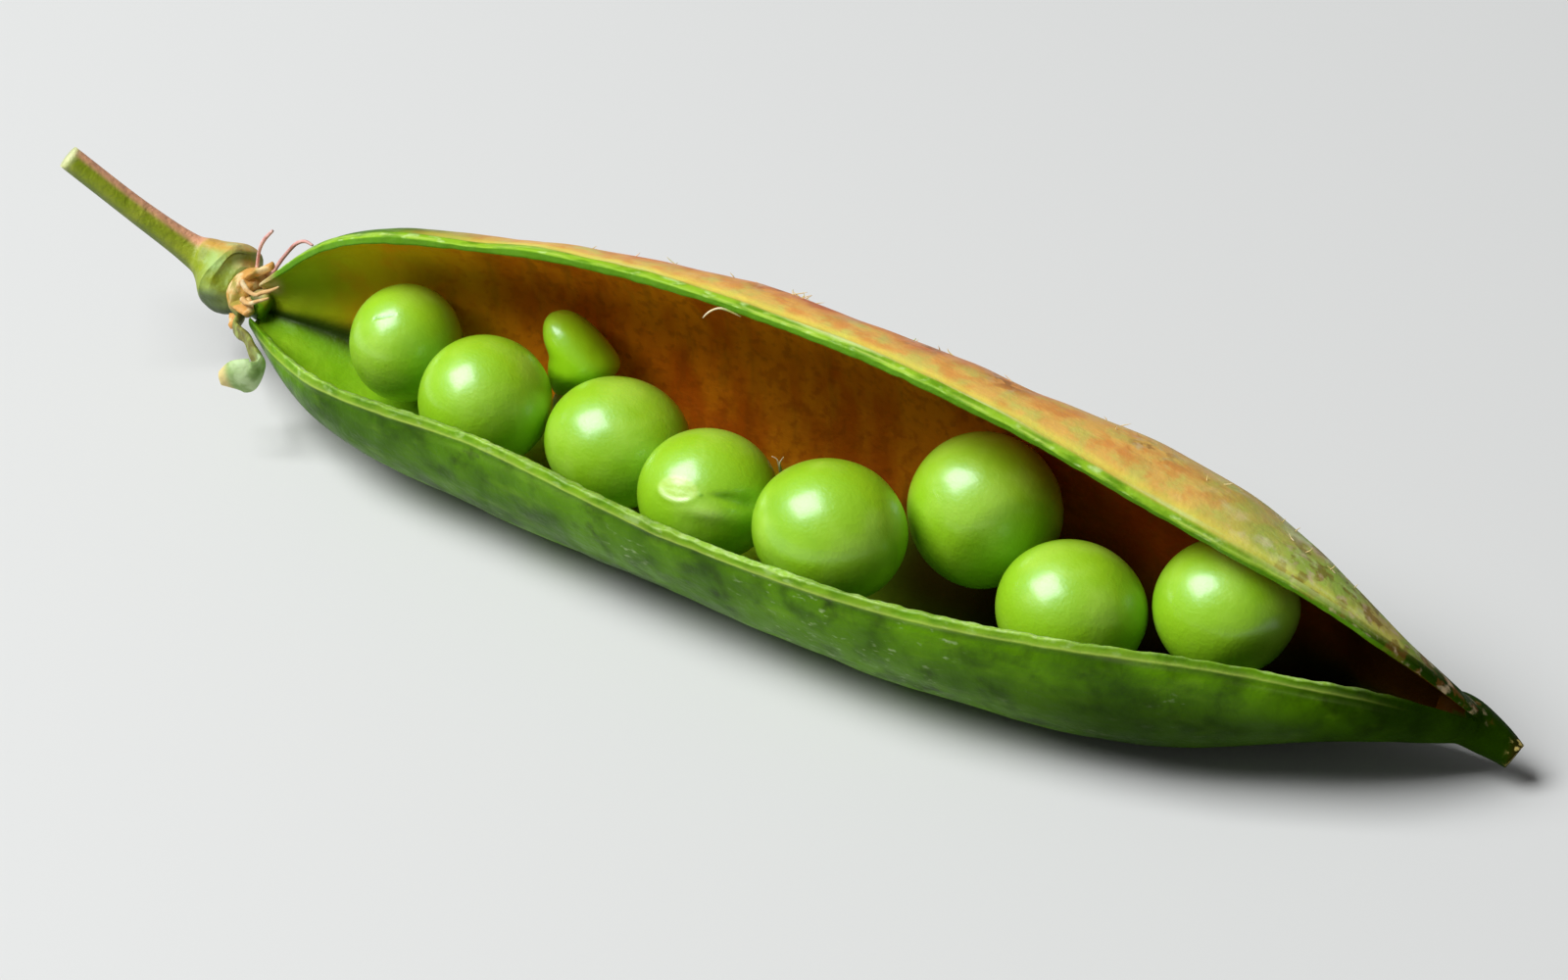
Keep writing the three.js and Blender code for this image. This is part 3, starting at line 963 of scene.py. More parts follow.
    def build(self) -> bpy.types.Object:
        """Models the wall.

        Returns:
            The finished mesh object.
        """
        count = int((self.end - self.start) / self.ring_gap)
        made = [self.ring(at) for at in np.linspace(self.start, self.end, count + 1)]
        marks = {name: np.stack([ring[1][name] for ring in made]) for name in made[0][1]}
        piece = loft("pod_wall", np.stack([ring[0] for ring in made]), **marks)
        source = places(piece)
        kept = {name: read_mark(piece, name) for name in marks}
        tree = kdtree.KDTree(len(source))
        for i, spot in enumerate(source):
            tree.insert(spot, i)
        tree.balance()
        for name, strand in (("pod_neck", self.neck), ("pod_beak", self.beak)):
            end = loft(name, strand.tube(*self.end_mesh, lambda angle, along: 1 + 0.03 * np.cos(5 * angle)))
            faces = len(piece.data.polygons)
            joined = piece.modifiers.new("joined", "BOOLEAN")
            joined.operation, joined.solver, joined.object = "UNION", "MANIFOLD", end
            apply_all(piece)
            if len(piece.data.polygons) < faces:
                raise RuntimeError(f"joining {name} lost most of the wall")
            bpy.data.objects.remove(end)
        self.blend_ends(piece)
        spots = self.locate(piece, tree, kept)
        self.tint_outside(piece, spots)
        self.tint_inside(piece, spots)
        self.tint_edges(piece, spots)
        self.tint_ends(piece, spots)
        move_to(piece, places(piece))
        return piece

    def blend_ends(self, piece: bpy.types.Object) -> None:
        """Softens the creases where the valves run into the neck and the beak, and the beak's cut tip."""
        x = places(piece)[:, 0]
        weights = np.maximum.reduce([share * hill(at, width, x) for at, width, share in self.blends])
        group = piece.vertex_groups.new(name="ends")
        for i in np.flatnonzero(weights > self.least_blend).tolist():
            group.add([i], float(weights[i]), "REPLACE")
        softened = piece.modifiers.new("softened", "SMOOTH")
        softened.factor, softened.iterations, softened.vertex_group = 0.5, self.blend_steps, group.name
        apply_all(piece)
        piece.vertex_groups.clear()

    def locate(self, piece: bpy.types.Object, tree: kdtree.KDTree, kept: dict[str, np.ndarray]) -> Spots:
        """Finds where each vertex of the joined wall lies on the pod.

        Args:
            piece: the joined wall.
            tree: finds the nearest point of the wall before the ends were joined.
            kept: that wall's marks.

        Returns:
            The places of the vertices on the pod.
        """
        points = places(piece)
        nearest = np.array([tree.find(Vector(p))[1] for p in points])
        near = {name: values[nearest] for name, values in kept.items()}
        neck_end, beak_start = self.solid_ends
        solid = (points[:, 0] < neck_end) | (points[:, 0] > beak_start)
        lining, rim = (np.where(solid, 0, near[name]) for name in ("lining", "rim"))
        return Spots(points, near["along"], near["across"], near["depth"], lining, rim, solid)

    def tint_outside(self, piece: bpy.types.Object, spots: Spots) -> None:
        """Marks the skin's tints: the crest's blush, largely painted red light, its pale end, the scabs and
        the darkest green, partly painted shade.

        Args:
            piece: the joined wall.
            spots: where its vertices lie.
        """
        along, across, depth = spots.along, spots.across, spots.depth
        outer = 1 - spots.lining
        wander = 0.03 * grain(along / 4.0, seed=31)
        drift = grain(along / 8.0, across * 4.0, seed=47)
        back = fade(0.2, 0.62, across + 0.12 * drift)
        clear = fade(0.3, 0.9, depth)
        # The warm crest is partly the valve's own blush and largely painted red light reflected onto it.
        red_lit = back * fade(9, 26, along + 6 * drift) * (1 - fade(62, 78, along)) * clear
        high = 0.85 * fade(0.52, 0.74, across + 0.1 * drift) * (1 - fade(0.78, 0.92, across + 2 * wander))
        mark(piece, "blush_and_painted_red_light", outer * red_lit)
        mark(piece, "painted_warm_reflection", outer * red_lit * high * (1 - 0.8 * fade(48, 62, along)))
        mark(piece, "gold", 0.6 * outer * back * hill(0.9, 0.6, depth) * within((8, 20), (79, 83), along))
        mark(piece, "pale", outer * back * within((50, 64), (79, 84), along) * clear)
        patches = sum(hill(spot, self.scab_length, along) for spot in self.scabs)
        ridge = fade(0.58, 0.7, across) * within((70, 76), (84.5, 86), along)
        scabby = outer * hill(self.scab_level, 0.07, across) * patches + np.maximum(outer, spots.rim) * ridge
        mark(piece, "scab", np.minimum(1.0, scabby))
        # Darker green toward the beak and low on the front valve: painted shade over the beak's own dark
        # green.
        deep = 0.8 * fade(50, 68, along) * fade(0.0, 0.25, -across) * fade(0.6, 5.0, depth)
        mark(piece, "dark", np.maximum(fade(33, 41, spots.points[:, 0]), deep) * outer)

    @staticmethod
    def tint_inside(piece: bpy.types.Object, spots: Spots) -> None:
        """Marks the lining's tints, from the green neck to the back valve's brown-orange, largely painted red
        light, and the painted shade on the floor.

        Args:
            piece: the joined wall.
            spots: where its vertices lie.
        """
        along, across = spots.along, spots.across
        wander = 0.03 * grain(along / 4.0, seed=31)
        mark(piece, "lining", spots.lining)
        toward_neck = (0.3 + 0.7 * fade(2, 11, along)) * (1 - fade(14, 34, along))
        mark(piece, "olive", fade(-0.1, 0.12, across) * toward_neck)
        mark(piece, "red_lit_lining", fade(-0.06, 0.1, across + wander) * fade(7, 22, along + 60 * wander))
        mark(piece, "red", fade(0.0, 0.2, across) * fade(44, 66, along))
        # A dark line along the seam near the neck: painted shade in its fold.
        mark(piece, "seam_fold_shade", 0.9 * hill(0.02, 0.1, across) * (1 - fade(8, 20, along)))
        # Painted shade on the floor of the pod under the peas, and on the lining toward the beak.
        mark(piece, "floor", np.maximum.reduce([
            hill(-0.08, 0.34, across) * within((36, 50), (76, 82), along),
            0.5 * hill(0.15, 0.3, across) * fade(24, 40, along),
            0.85 * fade(69, 79, along)]))

    @staticmethod
    def tint_edges(piece: bpy.types.Object, spots: Spots) -> None:
        """Marks the split edges: the green band, its pale streaks, the fine bright line along it that is a
        painted highlight, the painted shade under the back rim and the torn fibres.

        Args:
            piece: the joined wall.
            spots: where its vertices lie.
        """
        along, across, depth = spots.along, spots.across, spots.depth
        outer, inner = 1 - spots.lining, np.maximum(spots.lining, spots.rim)
        back = across > 0
        ends = within((0.5, 3.0), (77, 83), along)
        wavy = 0.15 * grain(along / 3.5, seed=37)
        band = np.where(back, 1 - fade(0.25, 0.85, depth + wavy), 0.5 * (1 - fade(0.35, 0.95, depth)))
        mark(piece, "band", band * ends * (1 - 0.6 * spots.lining) * (1 - 0.75 * fade(64, 77, along)))
        # The bright line along each rim is a painted highlight, broken along the back rim.
        broken = fade(-0.3, 0.3, grain(along / 2.5, seed=39))
        line = np.where(back, 0.8 * broken * hill(0.14, 0.08, depth), 0.65 * hill(0.5, 0.1, depth))
        mark(piece, "line", line * outer * ends)
        streaks = 0.5 + 0.5 * grain(depth * 2.6, along / 9.0, seed=33)
        strip = np.where(back, hill(0.75, 0.4, depth), 0.25 * hill(0.8, 0.5, depth))
        mark(piece, "stria", fade(0.5, 0.75, streaks) * strip * outer * ends)
        # A darker green just under the back rim's edge: painted shade.
        mark(piece, "under", np.where(back, hill(0.0, 0.35, depth), 0.0) * inner * ends)
        crumbly = 0.4 + 0.3 * fade(-0.1, 0.25, grain(along / 5.0, seed=23))
        torn = np.where(across < 0, crumbly, 0.12) * np.maximum(spots.rim, 1 - fade(0.02, 0.16, depth))
        mark(piece, "torn", torn * fade(2, 7, along) * ends)

    def tint_ends(self, piece: bpy.types.Object, spots: Spots) -> None:
        """Marks the dry tip of the beak, the cream neck and the painted shade of the throat beside it.

        Args:
            piece: the joined wall.
            spots: where its vertices lie.
        """
        x, z = spots.points[:, 0], spots.points[:, 2]
        mark(piece, "dry", fade(44.7, 45.6, x))
        mark(piece, "cream", (1 - fade(-40.9, -39.6, x)) * fade(6.6, 7.4, z))
        from_neck = np.linalg.norm(spots.points - np.array(self.neck.points[-1]), axis=1)
        hollow = np.where(spots.solid, 1.0, np.maximum(spots.lining, spots.rim))
        mark(piece, "throat_shade", (1 - fade(0.6, 1.2, from_neck)) * fade(-41.7, -41.3, x) * hollow)


# ------------------------------------------------------------------ peas


@dataclass
class Pea:
    """One loose ripe pea, slightly flattened where it was pressed. Sizes in millimetres.

    Attributes:
        name: the solid that it stands for.
        at: its centre.
        size: its half-size along X, Y and Z.
        dents: directions in which it is pressed flat, each with the share of the radius it loses.
        detail: how often the ball's triangles are divided.
        fullness: the pea's mean reach, as a share of its half-size.
        unevenness: how much the reach rises and falls.
    """

    name: str
    at: Point
    size: Point
    dents: tuple[tuple[Point, float], ...] = ()
    detail: int = 6
    fullness: float = 0.998
    unevenness: float = 0.01

    def build(self) -> bpy.types.Object:
        """Models the pea from a ball of small triangles.

        Returns:
            The finished mesh object.
        """
        bpy.ops.object.select_all(action="DESELECT")
        bpy.ops.mesh.primitive_ico_sphere_add(subdivisions=self.detail, radius=MM)
        piece = take(f"{self.name}_seed")
        ball = unit(places(piece))
        reach = self.fullness + self.unevenness * grain(*(ball.T * 1.1), seed=sum(self.at))
        for direction, loss in self.dents:
            reach = reach - loss * fade(0.55, 0.98, ball @ unit(direction))
        shaped = np.array(self.at) + ball * reach[:, None] * np.array(self.size)
        shaped, marks = self.detail_coat(ball, shaped)
        for name, values in marks.items():
            mark(piece, name, values)
        move_to(piece, shaped)
        return piece

    def detail_coat(self, ball: np.ndarray, shaped: np.ndarray) -> tuple[np.ndarray, dict[str, np.ndarray]]:
        """A plain pea has a whole coat, with its seed scar turned away."""
        return shaped, {}


@dataclass
class ScarredPea(Pea):
    """A pea turned so that its seed scar shows: an oval with a raised edge, a dot and a crease beside it.

    Attributes:
        scar_at: the direction of the scar from the pea's centre.
        scar_along: the direction of its long axis.
        scar_length, scar_width: half its length and width.
        dot_at: the dot's distance along and across from the scar's centre.
    """

    scar_at: Point = (-0.1, -0.79, 0.6)
    scar_along: Point = (0.95, 0.25, -0.1)
    scar_length: float = 1.3
    scar_width: float = 0.75
    dot_at: tuple[float, float] = (1.55, -0.1)

    def detail_coat(self, ball: np.ndarray, shaped: np.ndarray) -> tuple[np.ndarray, dict[str, np.ndarray]]:
        """Raises the scar's lip, sinks the crease and marks both.

        Args:
            ball: outward directions.
            shaped: the pea's places so far.

        Returns:
            The new places, and how much each one belongs to the scar, its lip and the crease.
        """
        out = unit(self.scar_at)
        along = unit(np.array(self.scar_along) - out * np.dot(self.scar_along, out))
        across = np.cross(out, along)
        # Millimetres along and across the scar from its centre. The heights are millimetres too.
        offset = (ball - out) * np.array(self.size)
        u, v = offset @ along, offset @ across
        near = fade(0.2, 0.5, ball @ out)
        oval = np.sqrt((u / self.scar_length) ** 2 + (v / self.scar_width) ** 2)
        lower = fade(-0.1, 0.9, -v / self.scar_width - 0.3 * u / self.scar_length)
        edge = hill(1.0, 0.2, oval)
        dot = hill(0.0, 0.13, np.hypot(u - self.dot_at[0], v - self.dot_at[1]))
        wedge = 0.18 + 0.4 * fade(1.9, 4.2, u)
        crease = fade(1.7, 3.0, u) * (1 - fade(3.9, 4.9, u)) * hill(-0.05, 1.0, v / wedge)
        swell = hill(2.0, 1.6, u) * hill(-1.1, 0.5, v)
        rise = edge * (0.02 + 0.045 * lower) - 0.015 * hill(0.0, 0.1, v) * (oval < 1)
        rise = rise + 0.05 * dot - 0.24 * crease + 0.16 * swell
        # The lip is pale only on its lower side, a painted highlight, and the crease is darkened as painted
        # shade; the dot is the pea's own dark spot.
        hilum = np.maximum(0.85 * (1 - fade(0.85, 1.2, oval)), 0.35 * swell) * near
        lip = np.maximum(0.5 * edge * lower, 0.6 * swell)
        marks = {"hilum": hilum, "crease": (0.35 * crease + 0.7 * dot) * near, "lip": lip}
        return shaped + ball * (rise * near)[:, None], marks


@dataclass
class SplitPea(Pea):
    """A pea whose coat has a fine dark crack across its top.

    Attributes:
        crack: directions from the centre that the crack runs through.
        crack_width: its half-width.
        crack_depth: its depth.
    """

    crack: tuple[Point, ...] = ((-0.257, -0.597, 0.76), (-0.08, -0.56, 0.825), (0.079, -0.492, 0.867))
    crack_width: float = 0.07
    crack_depth: float = 0.06

    def detail_coat(self, ball: np.ndarray, shaped: np.ndarray) -> tuple[np.ndarray, dict[str, np.ndarray]]:
        """Sinks the crack and marks it.

        Args:
            ball: outward directions.
            shaped: the pea's places so far.

        Returns:
            The new places, and how much each one belongs to the crack.
        """
        size = np.array(self.size)
        spots = [np.array(p) * size for p in self.crack]
        near = np.full(len(ball), np.inf)
        for start, end in zip(spots, spots[1:]):
            run = end - start
            share = np.clip((ball * size - start) @ run / (run @ run), 0.0, 1.0)
            near = np.minimum(near, np.linalg.norm(ball * size - start - share[:, None] * run, axis=1))
        cut = hill(0.0, self.crack_width, near)
        return shaped - ball * (self.crack_depth * cut)[:, None], {"crease": 0.8 * cut}


@dataclass
class UndevelopedPea:
    """A pear-shaped pea that never filled, narrow end down between the ripe ones and the back valve.

    Attributes:
        line: its middle line from the narrow end up, with its radii.
        axis: the direction that its rings are square to.
        steps: rings along the line, less one.
        sides: points in each ring.
        rounding: how often the mesh is divided smoothly.
    """

    line: Strand = Strand(((-19.4, 5.2, 6.0), (-19.0, 5.4, 6.8), (-18.3, 5.7, 7.7), (-18.1, 5.9, 8.6),
                           (-18.7, 6.0, 9.6), (-19.2, 6.1, 10.5), (-19.5, 6.2, 11.1), (-19.6, 6.3, 11.4)),
                          (0.5, 1.3, 2.1, 2.28, 2.1, 1.68, 1.1, 0.45))
    axis: Point = (0.0, 0.25, 0.97)
    steps: int = 26
    sides: int = 32
    rounding: int = 2

    def build(self) -> bpy.types.Object:
        """Models it from rings stacked along its leaning line.

        Returns:
            The finished mesh object.
        """
        spots, radii, _, _, _ = self.line.trace(self.steps)
        axis = unit(self.axis)
        first = unit(np.array([1.0, 0.0, 0.0]) - axis * axis[0])
        second = np.cross(axis, first)
        angle = np.linspace(0, 2 * math.pi, self.sides, endpoint=False)[None, :, None]
        reach = radii[:, None, None]
        rings = spots[:, None, :] + first * np.cos(angle) * reach + second * np.sin(angle) * reach
        piece = loft("pea_small_seed", rings)
        rounded = piece.modifiers.new("rounded", "SUBSURF")
        rounded.levels = rounded.render_levels = self.rounding
        apply_all(piece)
        move_to(piece, places(piece))
        return piece


@dataclass
class Peas:
    """All the loose peas, numbered from the stem."""

    ripe: tuple[Pea, ...] = (
        SplitPea("pea_1", (-29.8, 3.9, 7.6), (3.6, 3.7, 3.8)),
        Pea("pea_2", (-22.2, 0.3, 7.6), (4.2, 4.15, 4.1)),
        Pea("pea_3", (-13.2, 0.8, 6.8), (4.65, 4.3, 4.0)),
        ScarredPea("pea_4", (-5.0, -3.2, 7.9), (4.35, 4.2, 3.95)),
        Pea("pea_5", (4.1, -5.2, 9.3), (4.8, 4.3, 4.3), (((1, 0.5, 0.0), 0.02),)),
        Pea("pea_6", (11.5, 0.8, 9.2), (4.75, 4.5, 4.85), (((0.75, -0.62, -0.25), 0.07),)),
        Pea("pea_7", (19.3, -4.3, 7.7), (4.55, 4.2, 4.1)),
        Pea("pea_8", (28.0, -1.8, 8.9), (4.35, 4.2, 4.15), (((0.8, -0.4, -0.5), 0.05),)),
    )
    young: UndevelopedPea = field(default_factory=UndevelopedPea)

    def build(self) -> None:
        """Models and dresses every pea."""
        coat = PeaSkin().make()
        for pea in self.ripe:
            finish_piece(pea.build(), coat, "pea", pea.name)
        # The undeveloped pea's coat is lighter than the ripe peas' to stand in for the light that the back
        # valve's rim keeps off it: painted light on its own yellower green.
        young = PeaSkin("seed_coat_undeveloped", "a4dc14", "b8e63c", "80c00c").make()
        finish_piece(self.young.build(), young, "young_pea", "pea_small")


# ------------------------------------------------------------------ stem, calyx and fibres


@dataclass
class Stem:
    """The cut stem and the lumpy receptacle that it swells into. Sizes in millimetres.

    Attributes:
        line: its middle line from the cut end, with its radii.
        ribs: how many low ribs the receptacle has.
        rib_depth, lump_depth: how much they and its lumps change the radius, as shares of it.
        stalk_unevenness: how much the radius of the stalk changes, as a share of it.
        mesh: steps along it and points round it.
        cut_length: how far from the cut end the rind is pale.
        swelling_at: where along the pod the stalk turns to the receptacle.
        sun: the direction that the side with the painted warm reflection faces.
        cork: the direction that the corky side faces.
    """

    line: Strand = Strand(((-55.2, 5.2, 14.0), (-51.3, 6.5, 10.4), (-48.2, 7.6, 7.7), (-46.8, 7.8, 7.0),
                           (-45.4, 7.6, 6.4), (-44.4, 7.2, 6.2), (-43.6, 6.9, 6.3)),
                          (0.8, 0.82, 1.0, 1.5, 2.4, 2.2, 1.3))
    ribs: int = 5
    rib_depth: float = 0.045
    lump_depth: float = 0.06
    stalk_unevenness: float = 0.012
    mesh: tuple[int, int] = (110, 48)
    cut_length: float = 0.5
    swelling_at: tuple[float, float] = (-47.5, -46.3)
    sun: Point = (0.15, 0.35, 0.9)
    cork: Point = (0.0, -0.7, 0.7)

    def build(self) -> bpy.types.Object:
        """Models it.

        Returns:
            The finished mesh object.
        """
        def ripple(angle: np.ndarray, along: np.ndarray) -> np.ndarray:
            """The share of the radius: ribbed and lumpy where the stem swells, nearly round before."""
            swell = fade(0.33, 0.66, along)
            lumps = grain(1.2 * np.cos(angle), 1.2 * np.sin(angle), 7 * along, seed=5)
            uneven = self.rib_depth * np.cos(self.ribs * angle) + self.lump_depth * lumps
            return 1 + uneven * swell + self.stalk_unevenness * np.cos(6 * angle) * (1 - swell)

        piece = loft("stem_stalk", self.line.tube(*self.mesh, ripple))
        points = places(piece)
        start = np.array(self.line.points[0])
        run = (points - start) @ unit(np.array(self.line.points[1]) - start)
        mark(piece, "cut", 1 - fade(0.05, self.cut_length, run))
        move_to(piece, points)
        normals = np.array([v.normal for v in piece.data.vertices])
        swelling = fade(*self.swelling_at, points[:, 0])
        # Painted warm reflections on the faces turned up, and painted shade on the faces turned down.
        red_lit = normals @ np.array(self.sun)
        mark(piece, "painted_warm_reflection", fade(0.25, 1.0, red_lit) * (1 - 0.75 * swelling))
        mark(piece, "golden", fade(0.35, 0.95, red_lit) * swelling * 0.8)
        mark(piece, "corky", swelling * fade(-0.2, 0.6, normals @ np.array(self.cork)))
        mark(piece, "shade", fade(-0.35, 0.6, -normals[:, 2]) * (0.6 + 0.35 * swelling))
        return piece


@dataclass
class Calyx:
    """The withered calyx: a crumpled collar, torn stubs and one long sepal. Sizes in millimetres.

    Attributes:
        collar_line: the collar's middle line, with its radii.
        collar_mesh: steps along the collar and points round it.
        sepal: the sepal's middle line past the front valve, with its widths.
        stubs: the same for each torn stub.
        sepal_side, stub_side: the direction that a blade is broad in.
        sepal_cup, stub_cup: how far a blade's edges curl, as a share of its width.
        sepal_steps, stub_steps: sections along a blade.
        thickness: a blade's thickness in its middle.
        blade_points: points across a blade.
    """

    collar_line: Strand = Strand(((-43.4, 6.8, 6.3), (-42.7, 6.5, 6.25), (-42.0, 6.2, 6.2)), (1.5, 1.8, 1.3))
    sepal: Strand = Strand(((-43.0, 5.4, 5.0), (-42.6, 4.1, 5.1), (-41.8, 3.2, 5.5), (-40.8, 2.35, 5.9),
                            (-39.8, 1.45, 5.9), (-38.9, 0.65, 5.7), (-38.3, -0.1, 5.5), (-38.4, -0.85, 5.3),
                            (-39.3, -1.25, 5.3), (-40.4, -1.5, 5.0)),
                           (1.1, 1.0, 0.9, 0.9, 1.0, 1.4, 2.0, 2.6, 2.5, 1.0))
    stubs: tuple[Strand, ...] = (
        Strand(((-42.6, 6.3, 7.7), (-41.8, 6.3, 8.3), (-40.9, 6.3, 9.0)), (1.5, 1.2, 0.4)),
        Strand(((-42.8, 5.2, 6.4), (-42.2, 4.6, 6.5), (-41.5, 4.1, 6.4)), (1.6, 1.3, 0.7)),
        Strand(((-43.4, 5.6, 4.9), (-43.3, 5.1, 4.6), (-43.3, 4.6, 4.7)), (1.1, 0.8, 0.4)),
    )
    collar_mesh: tuple[int, int] = (20, 40)
    sepal_side: Point = (0.2, 0.0, 1.0)
    sepal_cup: float = 0.14
    sepal_steps: int = 60
    stub_side: Point = (0.6, 0.6, 0.2)
    stub_cup: float = 0.1
    stub_steps: int = 10
    thickness: float = 0.45
    blade_points: int = 13

    def blade(self, name: str, line: Strand, across: Point, steps: int, cup: float) -> bpy.types.Object:
        """A thin cupped sepal along a line.

        Args:
            name: the new object's name.
            line: the sepal's middle line, with its width at each point.
            across: the direction that the blade is broad in.
            steps: sections along it.
            cup: how far its edges curl, as a share of its width.

        Returns:
            The new object.
        """
        spots, widths, _, _, along = line.trace(steps)
        heading = unit(np.gradient(spots, axis=0))
        broad = unit(np.array(across) - heading * (heading @ np.array(across))[:, None])
        normal = np.cross(heading, broad)
        level = np.linspace(-0.5, 0.5, self.blade_points)
        thin = self.thickness * (1 - (2 * np.abs(level)) ** 4 * 0.8) / 2
        ring_u = np.concatenate([level, level[::-1]])[None, :]
        ring_v = np.concatenate([thin, -thin[::-1]])[None, :]
        run = along[:, None]
        wave = 0.12 * grain(8 * run, 2 * ring_u, seed=2)
        curl = cup * widths[:, None] * (4 * ring_u**2 - 0.3)
        edge = 1 + 0.12 * grain(9 * run, np.sign(ring_u), seed=4)
        flat = spots[:, None, :] + broad[:, None, :] * (ring_u * widths[:, None] * edge)[..., None]
        rings = flat + normal[:, None, :] * (ring_v + curl + wave)[..., None]
        return loft(name, rings, run=run + 0 * ring_u)

    def build(self) -> bpy.types.Object:
        """Models it as one piece.

        Returns:
            The finished mesh object.
        """
        def crumple(angle: np.ndarray, along: np.ndarray) -> np.ndarray:
            """The share of the radius where the collar is crumpled."""
            return 1 + 0.1 * grain(1.8 * np.cos(angle), 1.8 * np.sin(angle), 4 * along, seed=8)

        collar = loft("calyx_dry", self.collar_line.tube(*self.collar_mesh, crumple))
        height = places(collar)[:, 2]
        mark(collar, "cream", fade(5.0, 6.4, height))
        mark(collar, "shade", 0.8 * (1 - fade(4.6, 5.8, height)))
        sepal = self.blade("calyx_sepal", self.sepal, self.sepal_side, self.sepal_steps, self.sepal_cup)
        run = read_mark(sepal, "run")
        mark(sepal, "strip", 1 - fade(0.5, 0.66, run))
        mark(sepal, "tip", fade(0.9, 0.99, run))
        pieces = [collar, sepal]
        for i, stub in enumerate(self.stubs):
            blade = self.blade(f"calyx_stub_{i}", stub, self.stub_side, self.stub_steps, self.stub_cup)
            mark(blade, "cream", np.full(len(blade.data.vertices), 1.0))
            pieces.append(blade)
        return join(pieces, "calyx_dry")


@dataclass
class Fibres:
    """Hair-thin remains: the stamens and dry prongs at the neck, and the shreds and hairs of the split edges.

    Attributes:
        stamens: the two dried filaments of the flower.
        prongs: the dry prongs in front of the neck.
        shreds: a curl of the back rim, two threads of a seed stalk and the stalk of the undeveloped pea.
        tuft_along: the middle and the spread of the tuft of hairs on the crest, from the neck.
        tuft_hairs: how many hairs it has.
        hairs_along: the stretch of the crest that the other hairs stand on, from the neck.
        hairs: how many of them.
        hair_levels: between which levels of the back valve hairs stand.
        hair_radii: a hair's radius at its root, its middle and its tip.
        seed: fixes the hairs' places.
    """

    stamens: tuple[Strand, ...] = (
        Strand(((-42.6, 6.9, 7.2), (-42.6, 7.2, 8.2), (-42.4, 7.2, 9.2), (-42.0, 7.2, 10.1),
                (-41.3, 7.2, 11.0)), (0.14, 0.13, 0.12, 0.13, 0.1)),
        Strand(((-41.6, 7.0, 7.4), (-41.2, 7.4, 8.3), (-40.7, 7.6, 9.1), (-40.0, 7.8, 10.0),
                (-39.3, 7.8, 10.4), (-38.6, 7.6, 10.4)), (0.14, 0.14, 0.13, 0.13, 0.12, 0.08)),
    )
    prongs: tuple[Strand, ...] = (
        Strand(((-42.6, 5.1, 8.0), (-41.9, 4.7, 7.7), (-41.2, 4.5, 7.7), (-40.6, 4.4, 8.1),
                (-40.0, 4.4, 8.4), (-39.4, 4.5, 8.8)), (0.2, 0.16, 0.13, 0.14, 0.13, 0.07)),
        Strand(((-42.3, 4.6, 7.0), (-41.6, 4.2, 7.1), (-40.8, 4.0, 7.6), (-39.9, 4.0, 8.1)),
               (0.2, 0.16, 0.13, 0.07)),
    )
    shreds: tuple[Strand, ...] = (
        Strand(((-4.4, 0.2, 18.9), (-5.4, -0.1, 19.35), (-5.9, -0.3, 19.3), (-6.3, -0.45, 19.0),
                (-6.6, -0.5, 18.6)), (0.04, 0.07, 0.06, 0.06, 0.03)),
        Strand(((-2.0, 0.9, 7.6), (-1.9, 0.5, 8.4), (-1.9, 0.4, 8.9), (-1.6, 0.3, 9.5)),
               (0.1, 0.08, 0.05, 0.02)),
        Strand(((-2.1, 0.9, 7.8), (-2.0, 0.5, 8.6), (-2.1, 0.4, 9.1), (-2.4, 0.3, 9.3)),
               (0.08, 0.07, 0.04, 0.02)),
        Strand(((-19.4, 5.3, 6.3), (-19.8, 5.0, 5.4), (-20.0, 4.8, 4.4)), (0.35, 0.22, 0.2)),
    )
    tuft_along: tuple[float, float] = (39.3, 0.25)
    tuft_hairs: int = 7
    hairs_along: tuple[float, float] = (24.0, 80.0)
    hairs: int = 26
    hair_levels: tuple[float, float] = (0.68, 0.8)
    hair_radii: tuple[float, float, float] = (0.035, 0.03, 0.012)
    seed: int = 12

    def build_stamens(self) -> bpy.types.Object:
        """Models the stamens as one piece."""
        return self.together([s.tube(24, 8) for s in self.stamens], "stamen_remains")

    def build_prongs(self) -> bpy.types.Object:
        """Models the dry prongs as one piece."""
        return self.together([s.tube(24, 10) for s in self.prongs], "dry_prongs")

    def build_shreds(self, wall: PodWall) -> bpy.types.Object:
        """Models the torn shreds of the rim, the seed stalks and the short hairs along the crest.

        Args:
            wall: the pod wall, whose crest carries the hairs.

        Returns:
            The finished mesh object.
        """
        dice = np.random.default_rng(self.seed)
        tuft = dice.normal(*self.tuft_along, self.tuft_hairs)
        scattered = dice.uniform(*self.hairs_along, self.hairs)
        hairs = [self.hair(wall, at, dice) for at in np.concatenate([tuft, scattered])]
        return self.together([s.tube(10, 8) for s in (*self.shreds, *hairs)], "rim_shreds")

    def hair(self, wall: PodWall, at: float, dice: np.random.Generator) -> Strand:
        """One short hair on the crest of the back valve.

        Args:
            wall: the pod wall.
            at: the hair's distance from the neck.
            dice: draws its place, its lean and its bend.

        Returns:
            The hair's line, rooted just under the skin.
        """
        outer, _, level, _ = wall.valve(at, Side.BACK)
        share = dice.uniform(*self.hair_levels)
        root = np.array([at - wall.length / 2, *(np.interp(share, level, outer[:, k]) for k in (0, 1))])
        root[2] -= wall.rest_depth
        lean = np.array([dice.normal(0, 0.35), dice.uniform(0.0, 0.25), dice.uniform(0.12, 0.3)])
        bend = np.array([dice.normal(0, 0.12), 0.0, 0.05])
        line = (root - 0.1 * lean, root + 0.5 * lean, root + lean + bend)
        return Strand(tuple(tuple(spot) for spot in line), self.hair_radii)

